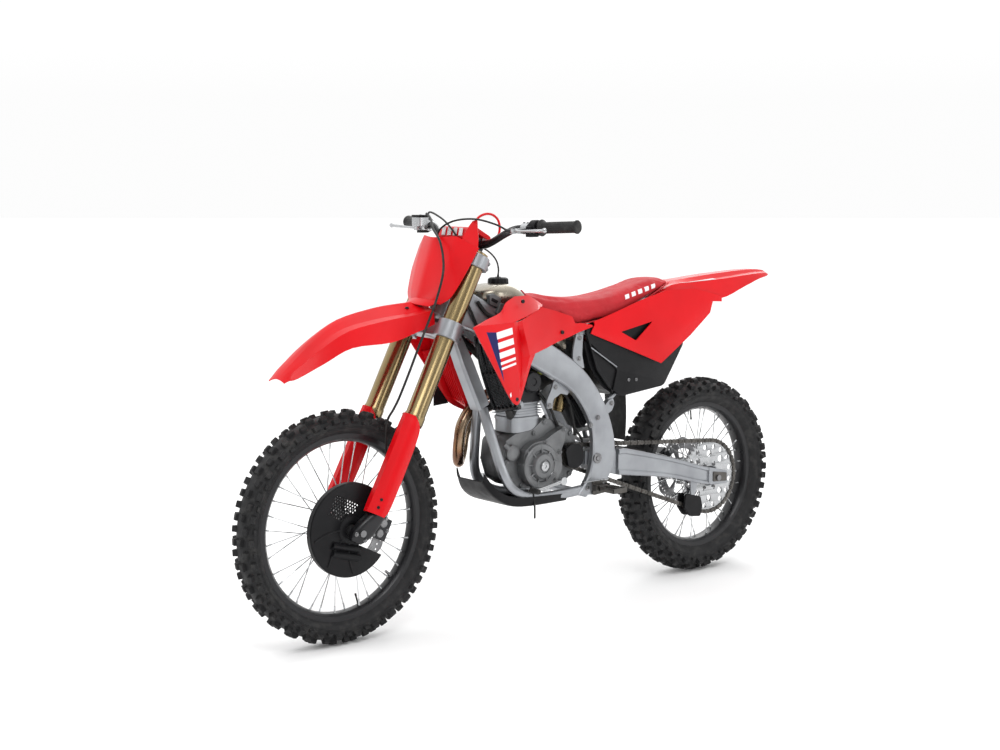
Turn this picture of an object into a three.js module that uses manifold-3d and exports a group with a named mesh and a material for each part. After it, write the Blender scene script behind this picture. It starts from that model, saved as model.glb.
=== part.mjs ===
// Motocross motorcycle, full size, in millimetres.
// +X points to the rear, +Y to the rider's right and +Z up. The origin is on the ground,
// under the middle of the motorcycle's length.
import * as THREE from "three";
import { mergeVertices } from "three/addons/utils/BufferGeometryUtils.js";
import Module from "manifold-3d";

const wasm = await Module();
wasm.setup();

// ---------------------------------------------------------------- driving dimensions
const LENGTH = 2160;
const WHEELBASE = 1481;
const CASTER = THREE.MathUtils.degToRad(27.1);
const TRAIL = 114;

// hub: half-width at the spoke flanges; mounts: widths of the faces that carry disc and sprocket
const FRONT = { radius: 346.5, half: 45, bead: 266.7, rimHalf: 20.5, hub: 34, mounts: [-53.2, 44] };
const REAR = { radius: 337.5, half: 56, bead: 241.3, rimHalf: 27.5, hub: 38, mounts: [-66.7, 57.7] };
const FRONT_AXLE = new THREE.Vector3(-LENGTH / 2 + FRONT.radius, 0, FRONT.radius);
const REAR_AXLE = new THREE.Vector3(FRONT_AXLE.x + WHEELBASE, 0, REAR.radius);
const SWING_PIVOT = new THREE.Vector3(185, 0, 465);
const COUNTERSHAFT = new THREE.Vector3(105, 0, 478);
const STEM_FOOT_X = FRONT_AXLE.x - TRAIL; // where the steering axis meets the ground

const CHAIN = { y: -70, pitch: 15.875, driveTeeth: 13, wheelTeeth: 49, halfHeight: 7.5 };
const LEG = { x: -22, y: 104, tube: 29.5, bore: 26, slider: 24.5 }; // from the steering axis
const AXLE_IN_FORK = { x: -56.3, s: 360.4 };
const CLAMP = { low: [983, 1037], high: [1215, 1255] }; // heights along the steering axis
const SHOCK = { top: [168, 748], foot: [272, 400] };
const SPOKES = 36;
const GAP = 0.4; // between pieces that would touch

// ---------------------------------------------------------------- materials
const paint = (colour, roughness, metalness = 0) =>
  new THREE.MeshStandardMaterial({ color: colour, roughness, metalness });
const MATERIAL = {
  redPlastic: paint(0xd90d1a, 0.35),
  seatCover: paint(0xc4272b, 0.6),
  blackPlastic: paint(0x141414, 0.5),
  rubber: paint(0x101010, 0.85),
  frameAlloy: paint(0xb4b8bd, 0.4, 0.8),
  castAlloy: paint(0x7d7f80, 0.5, 0.7),
  goldTube: paint(0xa88d4c, 0.25, 0.9),
  chrome: paint(0xd5d7d8, 0.12, 1),
  steel: paint(0x8c8d8e, 0.3, 0.9),
  blackAlloy: paint(0x1a1a1b, 0.4, 0.6),
  titanium: paint(0xb3a58c, 0.35, 0.8),
  exhaust: paint(0x7a5c48, 0.3, 0.9),
  spring: paint(0xb9b9b9, 0.35, 0.7),
};

// ---------------------------------------------------------------- solids
const solidOf = (geometry) => {
  const bare = geometry.index ? geometry.toNonIndexed() : geometry.clone();
  bare.deleteAttribute("normal");
  bare.deleteAttribute("uv");
  const merged = mergeVertices(bare, 1e-3);
  return new wasm.Manifold(
    new wasm.Mesh({
      numProp: 3,
      vertProperties: new Float32Array(merged.attributes.position.array),
      triVerts: new Uint32Array(merged.index.array),
    }),
  );
};
const geometryOf = (solid) => {
  const mesh = solid.getMesh();
  return new THREE.BufferGeometry()
    .setAttribute("position", new THREE.BufferAttribute(mesh.vertProperties.slice(), 3))
    .setIndex(new THREE.BufferAttribute(mesh.triVerts.slice(), 1))
    .toNonIndexed();
};
const join = (...parts) =>
  geometryOf(parts.map(solidOf).reduce((whole, next) => whole.add(next)));
const cut = (base, ...tools) =>
  geometryOf(tools.map(solidOf).reduce((left, tool) => left.subtract(tool), solidOf(base)));

const at = (geometry, x, y, z) => geometry.clone().translate(x, y, z);
const turnedY = (geometry, angle) => geometry.clone().rotateY(angle);

// A mirror image in the plane y = 0.
const mirrored = (geometry) =>
  reversed((geometry.index ? geometry.toNonIndexed() : geometry).clone().scale(1, -1, 1));
const block = (x0, x1, y0, y1, z0, z1) =>
  at(new THREE.BoxGeometry(x1 - x0, y1 - y0, z1 - z0), (x0 + x1) / 2, (y0 + y1) / 2, (z0 + z1) / 2);

// A cylinder along Y between two widths, about a point of the side view.
const drum = (x, z, radius, y0, y1, sides = 20) =>
  at(new THREE.CylinderGeometry(radius, radius, y1 - y0, sides), x, (y0 + y1) / 2, z);

// An outline of the side view, in x and z, pulled from y0 to y1.
const plate = (outline, y0, y1) => {
  const shape = new THREE.Shape(outline.map(([x, z]) => new THREE.Vector2(x, z)));
  const flat = new THREE.ExtrudeGeometry(shape, { depth: y1 - y0, bevelEnabled: false });
  return flat.rotateX(Math.PI / 2).translate(0, y1, 0);
};

const rod = (from, to, radius, sides = 12) => {
  const a = new THREE.Vector3(...from);
  const b = new THREE.Vector3(...to);
  const line = b.clone().sub(a);
  const turn = new THREE.Quaternion().setFromUnitVectors(
    new THREE.Vector3(0, 1, 0),
    line.clone().normalize(),
  );
  const bar = new THREE.CylinderGeometry(radius, radius, line.length(), sides);
  return bar.applyQuaternion(turn).translate(...a.add(b).multiplyScalar(0.5).toArray());
};

const pipe = (points, radius, steps, sides = 10) => {
  const section = new THREE.Shape();
  section.absarc(0, 0, radius, 0, 2 * Math.PI);
  const path = new THREE.CatmullRomCurve3(points.map((p) => new THREE.Vector3(...p)));
  return new THREE.ExtrudeGeometry(section, {
    steps,
    curveSegments: sides / 2,
    extrudePath: path,
    bevelEnabled: false,
  });
};

// The same body with its faces turned to point out.
const facingOut = (geometry) => {
  const faces = geometry.index ? geometry.toNonIndexed() : geometry.clone();
  const p = faces.attributes.position;
  const corner = (i) => new THREE.Vector3().fromBufferAttribute(p, i);
  let volume = 0;
  for (let i = 0; i < p.count; i += 3)
    volume += corner(i).dot(corner(i + 1).cross(corner(i + 2)));
  return volume < 0 ? reversed(faces) : faces;
};
const reversed = (faces) => {
  const p = faces.attributes.position.array;
  for (let i = 0; i < p.length; i += 9) {
    const second = p.slice(i + 3, i + 6);
    p.copyWithin(i + 3, i + 6, i + 9);
    p.set(second, i + 6);
  }
  return faces;
};
const closedBody = (position, index) =>
  facingOut(
    new THREE.BufferGeometry()
      .setAttribute("position", new THREE.Float32BufferAttribute(position, 3))
      .setIndex(index),
  );

// Turned about Y: pairs of radius and width that close on themselves.
const turnedRing = (profile, sides) => {
  const points = [...profile, profile[0]].map(([r, y]) => new THREE.Vector2(r, y));
  return facingOut(new THREE.LatheGeometry(points, sides));
};

// A closed body through rings of points, all of one length.
const loft = (rings) => {
  const across = rings[0].length;
  const position = rings.flat(2);
  const index = [];
  const quad = (a, b, c, d) => index.push(a, b, c, a, c, d);
  for (let i = 0; i + 1 < rings.length; i++)
    for (let j = 0; j < across; j++) {
      const k = (j + 1) % across;
      quad(i * across + j, i * across + k, (i + 1) * across + k, (i + 1) * across + j);
    }
  const last = (rings.length - 1) * across;
  for (let j = 1; j + 1 < across; j++) {
    index.push(0, j + 1, j);
    index.push(last, last + j, last + j + 1);
  }
  return closedBody(position, index);
};

// A moulded panel: a grid of points on its outer face, made `thick` deep towards `inside`.
const skin = (rows, thick, inside) => {
  const m = rows.length;
  const n = rows[0].length;
  const point = (i, j) => new THREE.Vector3(...rows[i][j]);
  const outer = [];
  const inner = [];
  for (let i = 0; i < m; i++)
    for (let j = 0; j < n; j++) {
      const along = point(Math.min(i + 1, m - 1), j).sub(point(Math.max(i - 1, 0), j));
      const over = point(i, Math.min(j + 1, n - 1)).sub(point(i, Math.max(j - 1, 0)));
      const normal = along.cross(over).normalize();
      const core = new THREE.Vector3(...inside).sub(point(i, j));
      if (normal.dot(core) < 0) normal.negate();
      outer.push(...rows[i][j]);
      inner.push(...point(i, j).addScaledVector(normal, thick).toArray());
    }
  const index = [];
  const half = m * n;
  const quad = (a, b, c, d) => index.push(a, b, c, a, c, d);
  for (let i = 0; i + 1 < m; i++)
    for (let j = 0; j + 1 < n; j++) {
      const a = i * n + j;
      quad(a, a + 1, a + n + 1, a + n);
      quad(half + a, half + a + n, half + a + n + 1, half + a + 1);
    }
  const rim = [];
  for (let j = 0; j < n; j++) rim.push(j);
  for (let i = 1; i < m; i++) rim.push(i * n + n - 1);
  for (let j = n - 2; j >= 0; j--) rim.push((m - 1) * n + j);
  for (let i = m - 2; i > 0; i--) rim.push(i * n);
  rim.forEach((a, k) => {
    const b = rim[(k + 1) % rim.length];
    quad(a, half + a, half + b, b);
  });
  return closedBody([...outer, ...inner], index);
};

// ---------------------------------------------------------------- the assembly
const motorcycle = new THREE.Group();
const fork = new THREE.Group(); // its +Z runs up the steering axis
fork.position.set(STEM_FOOT_X, 0, 0);
fork.rotation.y = CASTER;
motorcycle.add(fork);

const add = (name, geometry, material, parent = motorcycle) => {
  const mesh = new THREE.Mesh(geometry, material);
  mesh.name = name;
  parent.add(mesh);
};
const addPair = (name, left, material, parent = motorcycle) => {
  add(name + "_left", left, material, parent);
  add(name + "_right", mirrored(left), material, parent);
};

// ---------------------------------------------------------------- wheels
const tyre = ({ radius, half, bead, rimHalf }) => {
  const crown = [
    [radius, -half * 0.28],
    [radius - 6, -half * 0.72],
    [radius - 22, -half],
    [radius - 44, -half * 0.94],
    [bead + 15, -rimHalf + 0.3],
    [bead + 5, -rimHalf + 2.5],
  ];
  const inside = [
    [bead + 5, -rimHalf + 9],
    [radius - 34, -half * 0.76],
    [radius - 13, 0],
  ];
  const flip = (list) => list.map(([r, y]) => [r, -y]).reverse();
  return turnedRing([...crown, ...inside, ...flip(inside).slice(1), ...flip(crown)], 30);
};

const rim = ({ bead, rimHalf }) => {
  const side = [
    [bead + 13, -rimHalf - 3.5],
    [bead + 13, -rimHalf],
    [bead + 3, -rimHalf + 1.5],
    [bead - 8, -rimHalf * 0.5],
  ];
  const back = [
    [bead - 15, -rimHalf * 0.6],
    [bead - 3, -rimHalf - 3.5],
  ];
  const flip = (list) => list.map(([r, y]) => [r, -y]).reverse();
  return turnedRing([...side, ...flip(side), ...flip(back), ...back], 30);
};

// A hub shell with two flanges and its laced spokes, which end inside the rim's floor.
const lacedHub = ({ bead, hub, rimHalf, mounts: [left, right] }) => {
  const flange = hub + 4;
  const shell = turnedRing(
    [
      [10.8, left],
      [flange, left],
      [flange, -hub + 12],
      [21, -hub + 18],
      [21, hub - 18],
      [flange, hub - 12],
      [flange, right],
      [10.8, right],
    ],
    16,
  );
  const rimRadius = bead - 18.5;
  const laces = [];
  for (let i = 0; i < SPOKES; i++) {
    const side = i % 2 ? 1 : -1;
    const crossing = i % 4 < 2 ? 1 : -1;
    const end = ((i + 0.5) / SPOKES) * 2 * Math.PI;
    const start = end + crossing * 0.95;
    const headWidth = side * (hub - 5.5 - crossing * 4.5);
    const head = [(flange - 3) * Math.cos(start), headWidth, (flange - 3) * Math.sin(start)];
    const nipple = [rimRadius * Math.cos(end), side * rimHalf * 0.3, rimRadius * Math.sin(end)];
    laces.push(rod(head, nipple, 1.6, 3));
  }
  return join(shell, ...laces);
};

const brakeDisc = (radius, bore, y, thick, waves) => {
  const outline = new THREE.Shape();
  const steps = waves * 4;
  for (let i = 0; i <= steps; i++) {
    const turn = (i / steps) * 2 * Math.PI;
    const r = radius - 4 + 4 * Math.cos(waves * turn);
    if (i) outline.lineTo(r * Math.cos(turn), r * Math.sin(turn));
    else outline.moveTo(r, 0);
  }
  const hole = new THREE.Path();
  hole.absarc(0, 0, bore, 0, 2 * Math.PI, true);
  outline.holes.push(hole);
  const flat = new THREE.ExtrudeGeometry(outline, {
    depth: thick,
    bevelEnabled: false,
    curveSegments: 12,
  });
  return flat.rotateX(Math.PI / 2).translate(0, y + thick / 2, 0);
};

const pitchRadius = (teeth) => CHAIN.pitch / 2 / Math.sin(Math.PI / teeth);
const sprocket = (teeth, bore, thick) => {
  const outline = new THREE.Shape();
  const middle = pitchRadius(teeth);
  for (let i = 0; i < teeth; i++)
    [
      [-0.25, -5],
      [0, 5.5],
      [0.25, -5],
    ].forEach(([share, rise], k) => {
      const turn = ((i + share) / teeth) * 2 * Math.PI;
      const x = (middle + rise) * Math.cos(turn);
      const z = (middle + rise) * Math.sin(turn);
      if (i || k) outline.lineTo(x, z);
      else outline.moveTo(x, z);
    });
  const hole = new THREE.Path();
  hole.absarc(0, 0, bore, 0, 2 * Math.PI, true);
  outline.holes.push(hole);
  const flat = new THREE.ExtrudeGeometry(outline, {
    depth: thick,
    bevelEnabled: false,
    curveSegments: 10,
  });
  return flat.rotateX(Math.PI / 2).translate(0, thick / 2, 0);
};

const atAxle = (geometry, axle) => at(geometry, axle.x, axle.y, axle.z);
const FRONT_DISC_Y = -55;
const REAR_DISC_Y = 60;

add("front_tyre", atAxle(tyre(FRONT), FRONT_AXLE), MATERIAL.rubber);
add("front_rim", atAxle(rim(FRONT), FRONT_AXLE), MATERIAL.blackAlloy);
add("front_hub", atAxle(lacedHub(FRONT), FRONT_AXLE), MATERIAL.castAlloy);
add("front_disc", atAxle(brakeDisc(130, 32, FRONT_DISC_Y, 3, 12), FRONT_AXLE), MATERIAL.steel);
add("rear_tyre", atAxle(tyre(REAR), REAR_AXLE), MATERIAL.rubber);
add("rear_rim", atAxle(rim(REAR), REAR_AXLE), MATERIAL.blackAlloy);
add("rear_hub", atAxle(lacedHub(REAR), REAR_AXLE), MATERIAL.castAlloy);
add("rear_disc", atAxle(brakeDisc(120, 32, REAR_DISC_Y, 4, 12), REAR_AXLE), MATERIAL.steel);
add(
  "rear_sprocket",
  at(sprocket(CHAIN.wheelTeeth, 34, 6), REAR_AXLE.x, CHAIN.y, REAR_AXLE.z),
  MATERIAL.steel,
);
add(
  "drive_sprocket",
  at(sprocket(CHAIN.driveTeeth, 12.8, 6), COUNTERSHAFT.x, CHAIN.y, COUNTERSHAFT.z),
  MATERIAL.steel,
);
const axleBar = ({ x, z }, { mounts: [left, right] }, half, outer) =>
  join(
    drum(x, z, 10, -half, half, 16),
    drum(x, z, 16, half, half + 9, 6),
    drum(x, z, 17, right + GAP, outer, 16),
    drum(x, z, 17, -outer, left - GAP, 16),
  );
add("front_axle", axleBar(FRONT_AXLE, FRONT, 129, 79.5), MATERIAL.steel);
add("rear_axle", axleBar(REAR_AXLE, REAR, 122, 87.5), MATERIAL.steel);

// ---------------------------------------------------------------- fork, in its own frame
const LUG = { bottom: 330, top: 418 };
const upright = (radius, low, high, sides = 20) =>
  at(new THREE.CylinderGeometry(radius, radius, high - low, sides).rotateX(Math.PI / 2),
    0, 0, (low + high) / 2);
const forkTube = () =>
  at(
    cut(
      join(
        upright(LEG.tube, 712, 1262),
        upright(LEG.tube + 2, 708, 742),
        upright(LEG.tube - 4, 1260, 1266),
      ),
      upright(LEG.bore, 700, 1240),
    ),
    LEG.x, -LEG.y, 0,
  );
const forkSlider = () => {
  const stanchion = at(upright(LEG.slider, 390, 910), LEG.x, -LEG.y, 0);
  const lug = loft([
    [[-2, -128, LUG.top], [-48, -128, LUG.top], [-48, -80, LUG.top], [-2, -80, LUG.top]],
    [[-14, -122, 362], [-78, -122, 362], [-78, -84, 362], [-14, -84, 362]],
    [[-36, -118, LUG.bottom], [-76, -118, LUG.bottom], [-76, -86, LUG.bottom], [-36, -86, LUG.bottom]],
  ]);
  const bore = at(
    new THREE.CylinderGeometry(10 + GAP, 10 + GAP, 80, 18), AXLE_IN_FORK.x, -104, AXLE_IN_FORK.s);
  return cut(join(stanchion, lug), bore);
};
// A shield wrapped round the front and sides of the leg, open behind.
const forkGuard = () => {
  const wrap = (s, radius, spread, reach) =>
    [-1, -0.66, -0.33, 0, 0.33, 0.66, 1].map((k) => [
      LEG.x - radius * Math.cos(k * spread) * reach,
      -LEG.y + radius * Math.sin(k * spread),
      s,
    ]);
  return skin(
    [
      wrap(424, 37, 1.75, 1.1),
      wrap(520, 38, 1.9, 1.05),
      wrap(640, 38, 2.0, 1),
      wrap(733, 38, 2.1, 1),
    ],
    3,
    [LEG.x, -LEG.y, 600],
  );
};
addPair("fork_tube", forkTube(), MATERIAL.goldTube, fork);
addPair("fork_slider", forkSlider(), MATERIAL.chrome, fork);
addPair("fork_guard", forkGuard(), MATERIAL.redPlastic, fork);

const clampRing = (y, [low, high], radius) => at(upright(radius, low, high), LEG.x, y, 0);
const tripleClamp = (span, waist) => {
  const [low, high] = span;
  const bridge = block(-LEG.tube - 8, waist, -LEG.y, LEG.y, low + 6, high - 6);
  const rings = [-LEG.y, LEG.y].map((y) => clampRing(y, span, LEG.tube + 9));
  const bores = [-LEG.y, LEG.y].map((y) => clampRing(y, [low - 5, high + 5], LEG.tube + 0.6));
  return cut(join(bridge, ...rings), ...bores);
};
const stem = upright(14, CLAMP.low[0] + 10, CLAMP.high[0] - 10, 16);
add("lower_triple_clamp", join(tripleClamp(CLAMP.low, 10), stem), MATERIAL.frameAlloy, fork);
const barMounts = [-46, 46].map((y) => block(-10, 22, y - 14, y + 14, CLAMP.high[1] - 8, 1283));
add("upper_triple_clamp", join(tripleClamp(CLAMP.high, 30), ...barMounts), MATERIAL.frameAlloy, fork);

const caliper = cut(
  join(
    block(8, 66, -76, -30, 366, 436),
    block(-4, 24, -79.3, -70, 350, 410),
  ),
  at(new THREE.CylinderGeometry(134, 134, 8, 24), AXLE_IN_FORK.x, FRONT_DISC_Y, AXLE_IN_FORK.s),
);
add("front_caliper", caliper, MATERIAL.castAlloy, fork);

const discGuard = () => {
  const dish = turnedRing(
    [[20, -63.6], [60, -65.4], [128, -65.4], [138, -60], [139, -44], [136, -44], [135, -58.6],
      [127, -62.2], [60, -62.2], [20, -60.4]], 24);
  const placed = at(dish, AXLE_IN_FORK.x, 0, AXLE_IN_FORK.s);
  return cut(placed, block(-12, 120, -100, -30, 330, 540), block(-40, 0, -100, -70, 300, 430));
};
add("disc_guard", discGuard(), MATERIAL.blackPlastic, fork);

// ---------------------------------------------------------------- handlebar and controls
const BAR_RADIUS = 14;
const BAR_END = [-173, 413.5, 1217];
const GRIP_START = [-203, 285, 1212];
const barHalf = (side) => [
  [-250, side * 62, 1157],
  [-248, side * 105, 1164],
  [-240, side * 165, 1192],
  [-226, side * 205, 1208],
  [GRIP_START[0], side * GRIP_START[1], GRIP_START[2]],
  [-175, side * 404, 1216.6],
];
add(
  "handlebar",
  pipe([...barHalf(-1).reverse(), [-250, 0, 1156], ...barHalf(1)], BAR_RADIUS * 0.78, 30, 10),
  MATERIAL.blackAlloy,
);
const alongBar = (share, side) =>
  [0, 1, 2].map((k) => {
    const value = GRIP_START[k] + (BAR_END[k] - GRIP_START[k]) * share;
    return k === 1 ? side * value : value;
  });
const grip = (side) => {
  const sleeve = join(
    rod(alongBar(0, side), alongBar(1, side), 17, 12),
    rod(alongBar(-0.03, side), alongBar(0.03, side), 25, 12),
    rod(alongBar(0.97, side), alongBar(1, side), 20, 12),
  );
  return cut(sleeve, rod(alongBar(-0.3, side), alongBar(0.96, side), 12.6, 12));
};
add("left_grip", grip(-1), MATERIAL.rubber);
add("throttle_grip", grip(1), MATERIAL.rubber);

// A lever's pivot stands in front of the bar; the blade runs outwards to a ball end.
const LEVER_PIVOT = [-268, 238, 1202];
const lever = (side, reach) => {
  const [x, y, z] = LEVER_PIVOT;
  const s = (value) => side * value;
  const blade = [
    [x, s(y), z],
    [x - 4, s(y + 35), z + 1],
    [x + 2, s(y + 85), z + 3],
    [x + 10, s(y + reach), z + 5],
  ];
  return join(
    pipe(blade, 5.5, 6, 6),
    rod([x, s(y), z - 6.5], [x, s(y), z + 6.5], 10, 10),
    at(new THREE.SphereGeometry(8, 6, 5), x + 10, s(y + reach), z + 5),
  );
};
add("clutch_lever", lever(-1, 125), MATERIAL.castAlloy);
add("front_brake_lever", lever(1, 150), MATERIAL.castAlloy);

const masterCylinder = () => {
  const [x, y, z] = LEVER_PIVOT;
  const body = join(
    block(x - 16, x + 16, y - 14, y + 12, z + 7.5, z + 16),
    block(x - 4, x + 60, y - 34, y - 11, z - 2, z + 24),
    block(x + 2, x + 44, y - 34, y + 2, z + 18, z + 42),
  );
  const barRoom = rod([-238, 165, 1192], alongBar(0, 1), 13, 14);
  const relief = block(x + 30, x + 70, y - 40, y + 20, z - 20, z + 22);
  return cut(body, barRoom, relief);
};
add("front_master_cylinder", masterCylinder(), MATERIAL.castAlloy);

// From the master cylinder over the plate's edge and down the inside of the left leg.
const HOSE_RADIUS = 3.6;
const hosePath = [
  [-262, 196, 1240], [-280, 170, 1248], [-306, 120, 1238], [-338, 68, 1225], [-366, 24, 1206],
  [-397, -50, 1172], [-416, -92, 1119], [-439, -117, 1067], [-467, -118, 991], [-486, -111, 940],
  [-522, -105, 858], [-550, -102, 795], [-584, -99, 724], [-600, -92, 690], [-606, -70, 655],
  [-603, -57, 600], [-602, -56, 548], [-612, -56, 490], [-606, -58, 432], [-604, -64, 392],
  [-612, -66, 372.5],
];
add("front_brake_hose", pipe(hosePath, HOSE_RADIUS, 48, 6), MATERIAL.rubber);

// ---------------------------------------------------------------- steering plastics
const acrossRow = (x, stations) => [
  ...stations.slice().reverse().map(([y, z]) => [x, -y, z]),
  ...stations.filter(([y]) => y > 0).map(([y, z]) => [x, y, z]),
];
// Stations run from the centre line outwards.
const frontFender = skin(
  [
    acrossRow(-938, [[0, 796], [22, 794], [40, 790]]),
    acrossRow(-900, [[0, 838], [34, 824], [56, 800]]),
    acrossRow(-820, [[0, 900], [48, 884], [72, 838]]),
    acrossRow(-730, [[0, 948], [56, 928], [78, 876]]),
    acrossRow(-600, [[0, 974], [62, 952], [84, 884]]),
    acrossRow(-500, [[0, 984], [64, 960], [70, 906]]),
    acrossRow(-425, [[0, 990], [56, 968], [62, 926]]),
  ],
  3.2,
  [-560, 0, 500],
);
add("front_fender", frontFender, MATERIAL.redPlastic);

// In the fork's frame. A level of the plate runs from rim to rim over two soft creases.
const plateLevel = ([centre, crease, rim]) => {
  const soft = [(centre[0] * 2 + crease[0]) / 3, crease[1] * 0.45, (centre[2] * 2 + crease[2]) / 3];
  const half = [soft, crease, rim];
  return [
    ...half.map(([x, y, s]) => [x, -y, s]).reverse(),
    centre,
    ...half,
  ];
};
const numberPlate = () => {
  const face = skin(
    [
      [[-124, 0, 1264], [-104, 80, 1279], [-61, 147, 1263]],
      [[-118, 0, 1222], [-100, 78, 1226], [-62, 142, 1224]],
      [[-112, 0, 1178], [-94, 74, 1178], [-63, 134, 1178]],
      [[-102, 0, 1115], [-86, 66, 1115], [-62, 115, 1115]],
      [[-98, 0, 1084], [-83, 56, 1085], [-62, 99, 1090]],
      [[-95, 0, 1070], [-81, 46, 1070], [-64, 76, 1074]],
    ].map(plateLevel),
    3.2,
    [60, 0, 1160],
  );
  const horn = skin(
    [
      [[-92, -92, 1256], [-77, -120, 1254], [-60.5, -145.5, 1254]],
      [[-87, -90, 1290], [-75, -112, 1292], [-64, -133, 1290]],
      [[-82, -89, 1322], [-76, -102, 1326], [-69, -116, 1324]],
      [[-78, -92, 1342], [-75, -99, 1346], [-72, -106, 1345]],
    ],
    3.2,
    [60, 0, 1160],
  );
  const strap = pipe(
    [[-73.5, -99, 1338], [-66, -99, 1362], [-45, -99, 1382], [-20, -99, 1390], [5, -99, 1384],
      [21, -99, 1364], [25, -99, 1338], [23, -99, 1316]], 3.4, 18, 6);
  return join(face, horn, strap);
};
add("number_plate", numberPlate(), MATERIAL.redPlastic, fork);

// ---------------------------------------------------------------- frame
const spar = (side) =>
  loft(
    [
      [-318, 1042, -352, 928, 30, 4],
      [-180, 955, -218, 868, 78, 48],
      [-80, 892, -122, 805, 98, 70],
      [27, 826, -20, 748, 110, 82],
      [126, 756, 72, 694, 115, 88],
      [198, 672, 128, 630, 116, 92],
      [242, 590, 163, 562, 115, 93],
      [264, 515, 170, 498, 114, 93],
      [262, 450, 160, 436, 114, 93],
      [236, 392, 140, 392, 112, 92],
      [190, 344, 110, 354, 108, 88],
    ].map(([xo, zo, xi, zi, out, inn]) => [
      [xo, side * out, zo],
      [xo, side * inn, zo],
      [xi, side * inn, zi],
      [xi, side * out, zi],
    ]),
  );
const railPath = (side) => [
  [-205, side * 12, 650],
  [-192, side * 40, 560],
  [-170, side * 72, 448],
  [-134, side * 79, 394],
  [-60, side * 82, 362],
  [60, side * 86, 360],
  [160, side * 96, 368],
];
const headTube = rod([-369.8, 0, 933.5], [-298, 0, 1074], 38, 20);
const downTube = loft(
  [
    [-338, 930, 26, 14],
    [-268, 790, 26, 24],
    [-206, 655, 27, 24],
  ].map(([x, z, half, deep]) => [
    [x - deep, -half, z - 10],
    [x - deep, half, z - 10],
    [x + deep, half, z + 10],
    [x + deep, -half, z + 10],
  ]),
);
const pivotBore = drum(SWING_PIVOT.x, SWING_PIVOT.z, 10.4, -140, 140, 18);
const stemBore = rod([-400, 0, 874.5], [-260, 0, 1148.1], 17, 16);
const mainFrame = cut(
  join(
    headTube,
    downTube,
    spar(-1),
    spar(1),
    pipe(railPath(-1), 13, 16, 8),
    pipe(railPath(1), 13, 16, 8),
    block(-214, -192, -30, 30, 640, 672),
    rod([122, -95, 725], [122, 95, 725], 14, 10),
    block(115, 186, 30, 38, 716, 762),
    block(115, 186, -38, -30, 716, 762),
    rod([150, -98, 352], [150, 98, 352], 12, 10),
  ),
  pivotBore,
  stemBore,
);
add("main_frame", mainFrame, MATERIAL.frameAlloy);

const seatRail = [[112, 80, 866], [300, 80, 892], [480, 76, 944], [676, 50, 968]];
const seatStay = [[262, 77, 640], [420, 77, 770], [560, 70, 880], [640, 54, 962]];
const onSide = (points, side) => points.map(([x, y, z]) => [x, side * y, z]);
const subframeSide = (side) => [
  pipe(onSide(seatRail, side), 10, 10, 6),
  pipe(onSide(seatStay, side), 9, 10, 6),
];
add(
  "subframe",
  join(
    ...subframeSide(-1),
    ...subframeSide(1),
    rod([660, -54, 966], [660, 54, 966], 9, 8),
    rod([300, -80, 892], [300, 80, 892], 8, 8),
  ),
  MATERIAL.frameAlloy,
);

// ---------------------------------------------------------------- engine
const caseOutline = [
  [-152, 545], [-160, 480], [-140, 420], [-95, 392], [-10, 382], [80, 386], [124, 410],
  [146, 446], [150, 500], [128, 552], [70, 592], [10, 604], [-40, 572], [-110, 566],
];
const crankcase = cut(
  join(
    plate(caseOutline, -57, 57),
    drum(COUNTERSHAFT.x, COUNTERSHAFT.z, 12, -76, -50, 14),
  ),
  block(-135, 30, -80, 80, 566, 620),
);
add("crankcase", crankcase, MATERIAL.castAlloy);
add(
  "ignition_cover",
  join(
    drum(-34, 462, 74, -98, -57.5, 20),
    drum(-34, 462, 40, -112, -97, 16),
    plate([[-120, 520], [-92, 440], [-60, 500], [-70, 548]], -84, -57.5),
  ),
  MATERIAL.castAlloy,
);
add(
  "clutch_cover",
  join(
    drum(40, 486, 78, 57.5, 96, 20),
    drum(40, 486, 60, 95, 112, 18),
    drum(-70, 462, 52, 57.5, 90, 16),
  ),
  MATERIAL.castAlloy,
);
add("cylinder", block(-118, 4, -56, 56, 566.5, 660), MATERIAL.castAlloy);
add(
  "cylinder_head",
  join(
    block(-122, 6, -62, 62, 660.4, 742),
    plate([[-112, 742], [-100, 776], [-16, 784], [0, 742]], -58, 58),
  ),
  MATERIAL.castAlloy,
);

add(
  "exhaust_header",
  pipe(
    [
      [-125.5, 20, 690], [-148, 24, 689], [-188, 50, 655], [-236, 50, 600], [-248, 52, 545],
      [-246, 60, 496], [-222, 86, 472], [-190, 112, 500], [-168, 124, 556], [-120, 134, 606],
      [-40, 138, 632], [80, 139, 652], [220, 141, 686], [330, 144, 710],
    ],
    17.5, 34, 10,
  ),
  MATERIAL.exhaust,
);
const MUFFLER = { from: [331, 146, 711], to: [742, 156, 806] };
add(
  "muffler",
  join(
    rod(MUFFLER.from, [400, 147.7, 727], 36, 14),
    rod([400, 147.7, 727], [700, 155, 796.3], 54, 16),
    rod([700, 155, 796.3], MUFFLER.to, 34, 14),
  ),
  MATERIAL.titanium,
);

// ---------------------------------------------------------------- radiators and tank
const RADIATOR_LEAN = -0.4;
const RADIATOR_SWEEP = 0.25; // the outer edge stands further back than the inner one
const radiator = at(
  turnedY(
    join(
      new THREE.BoxGeometry(28, 78, 236),
      at(new THREE.BoxGeometry(34, 82, 16), 0, 0, 122),
      at(new THREE.BoxGeometry(34, 82, 16), 0, 0, -122),
    ),
    RADIATOR_LEAN,
  ).rotateZ(RADIATOR_SWEEP),
  -217, -118, 771,
);
addPair("radiator", radiator, MATERIAL.blackAlloy);

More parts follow.
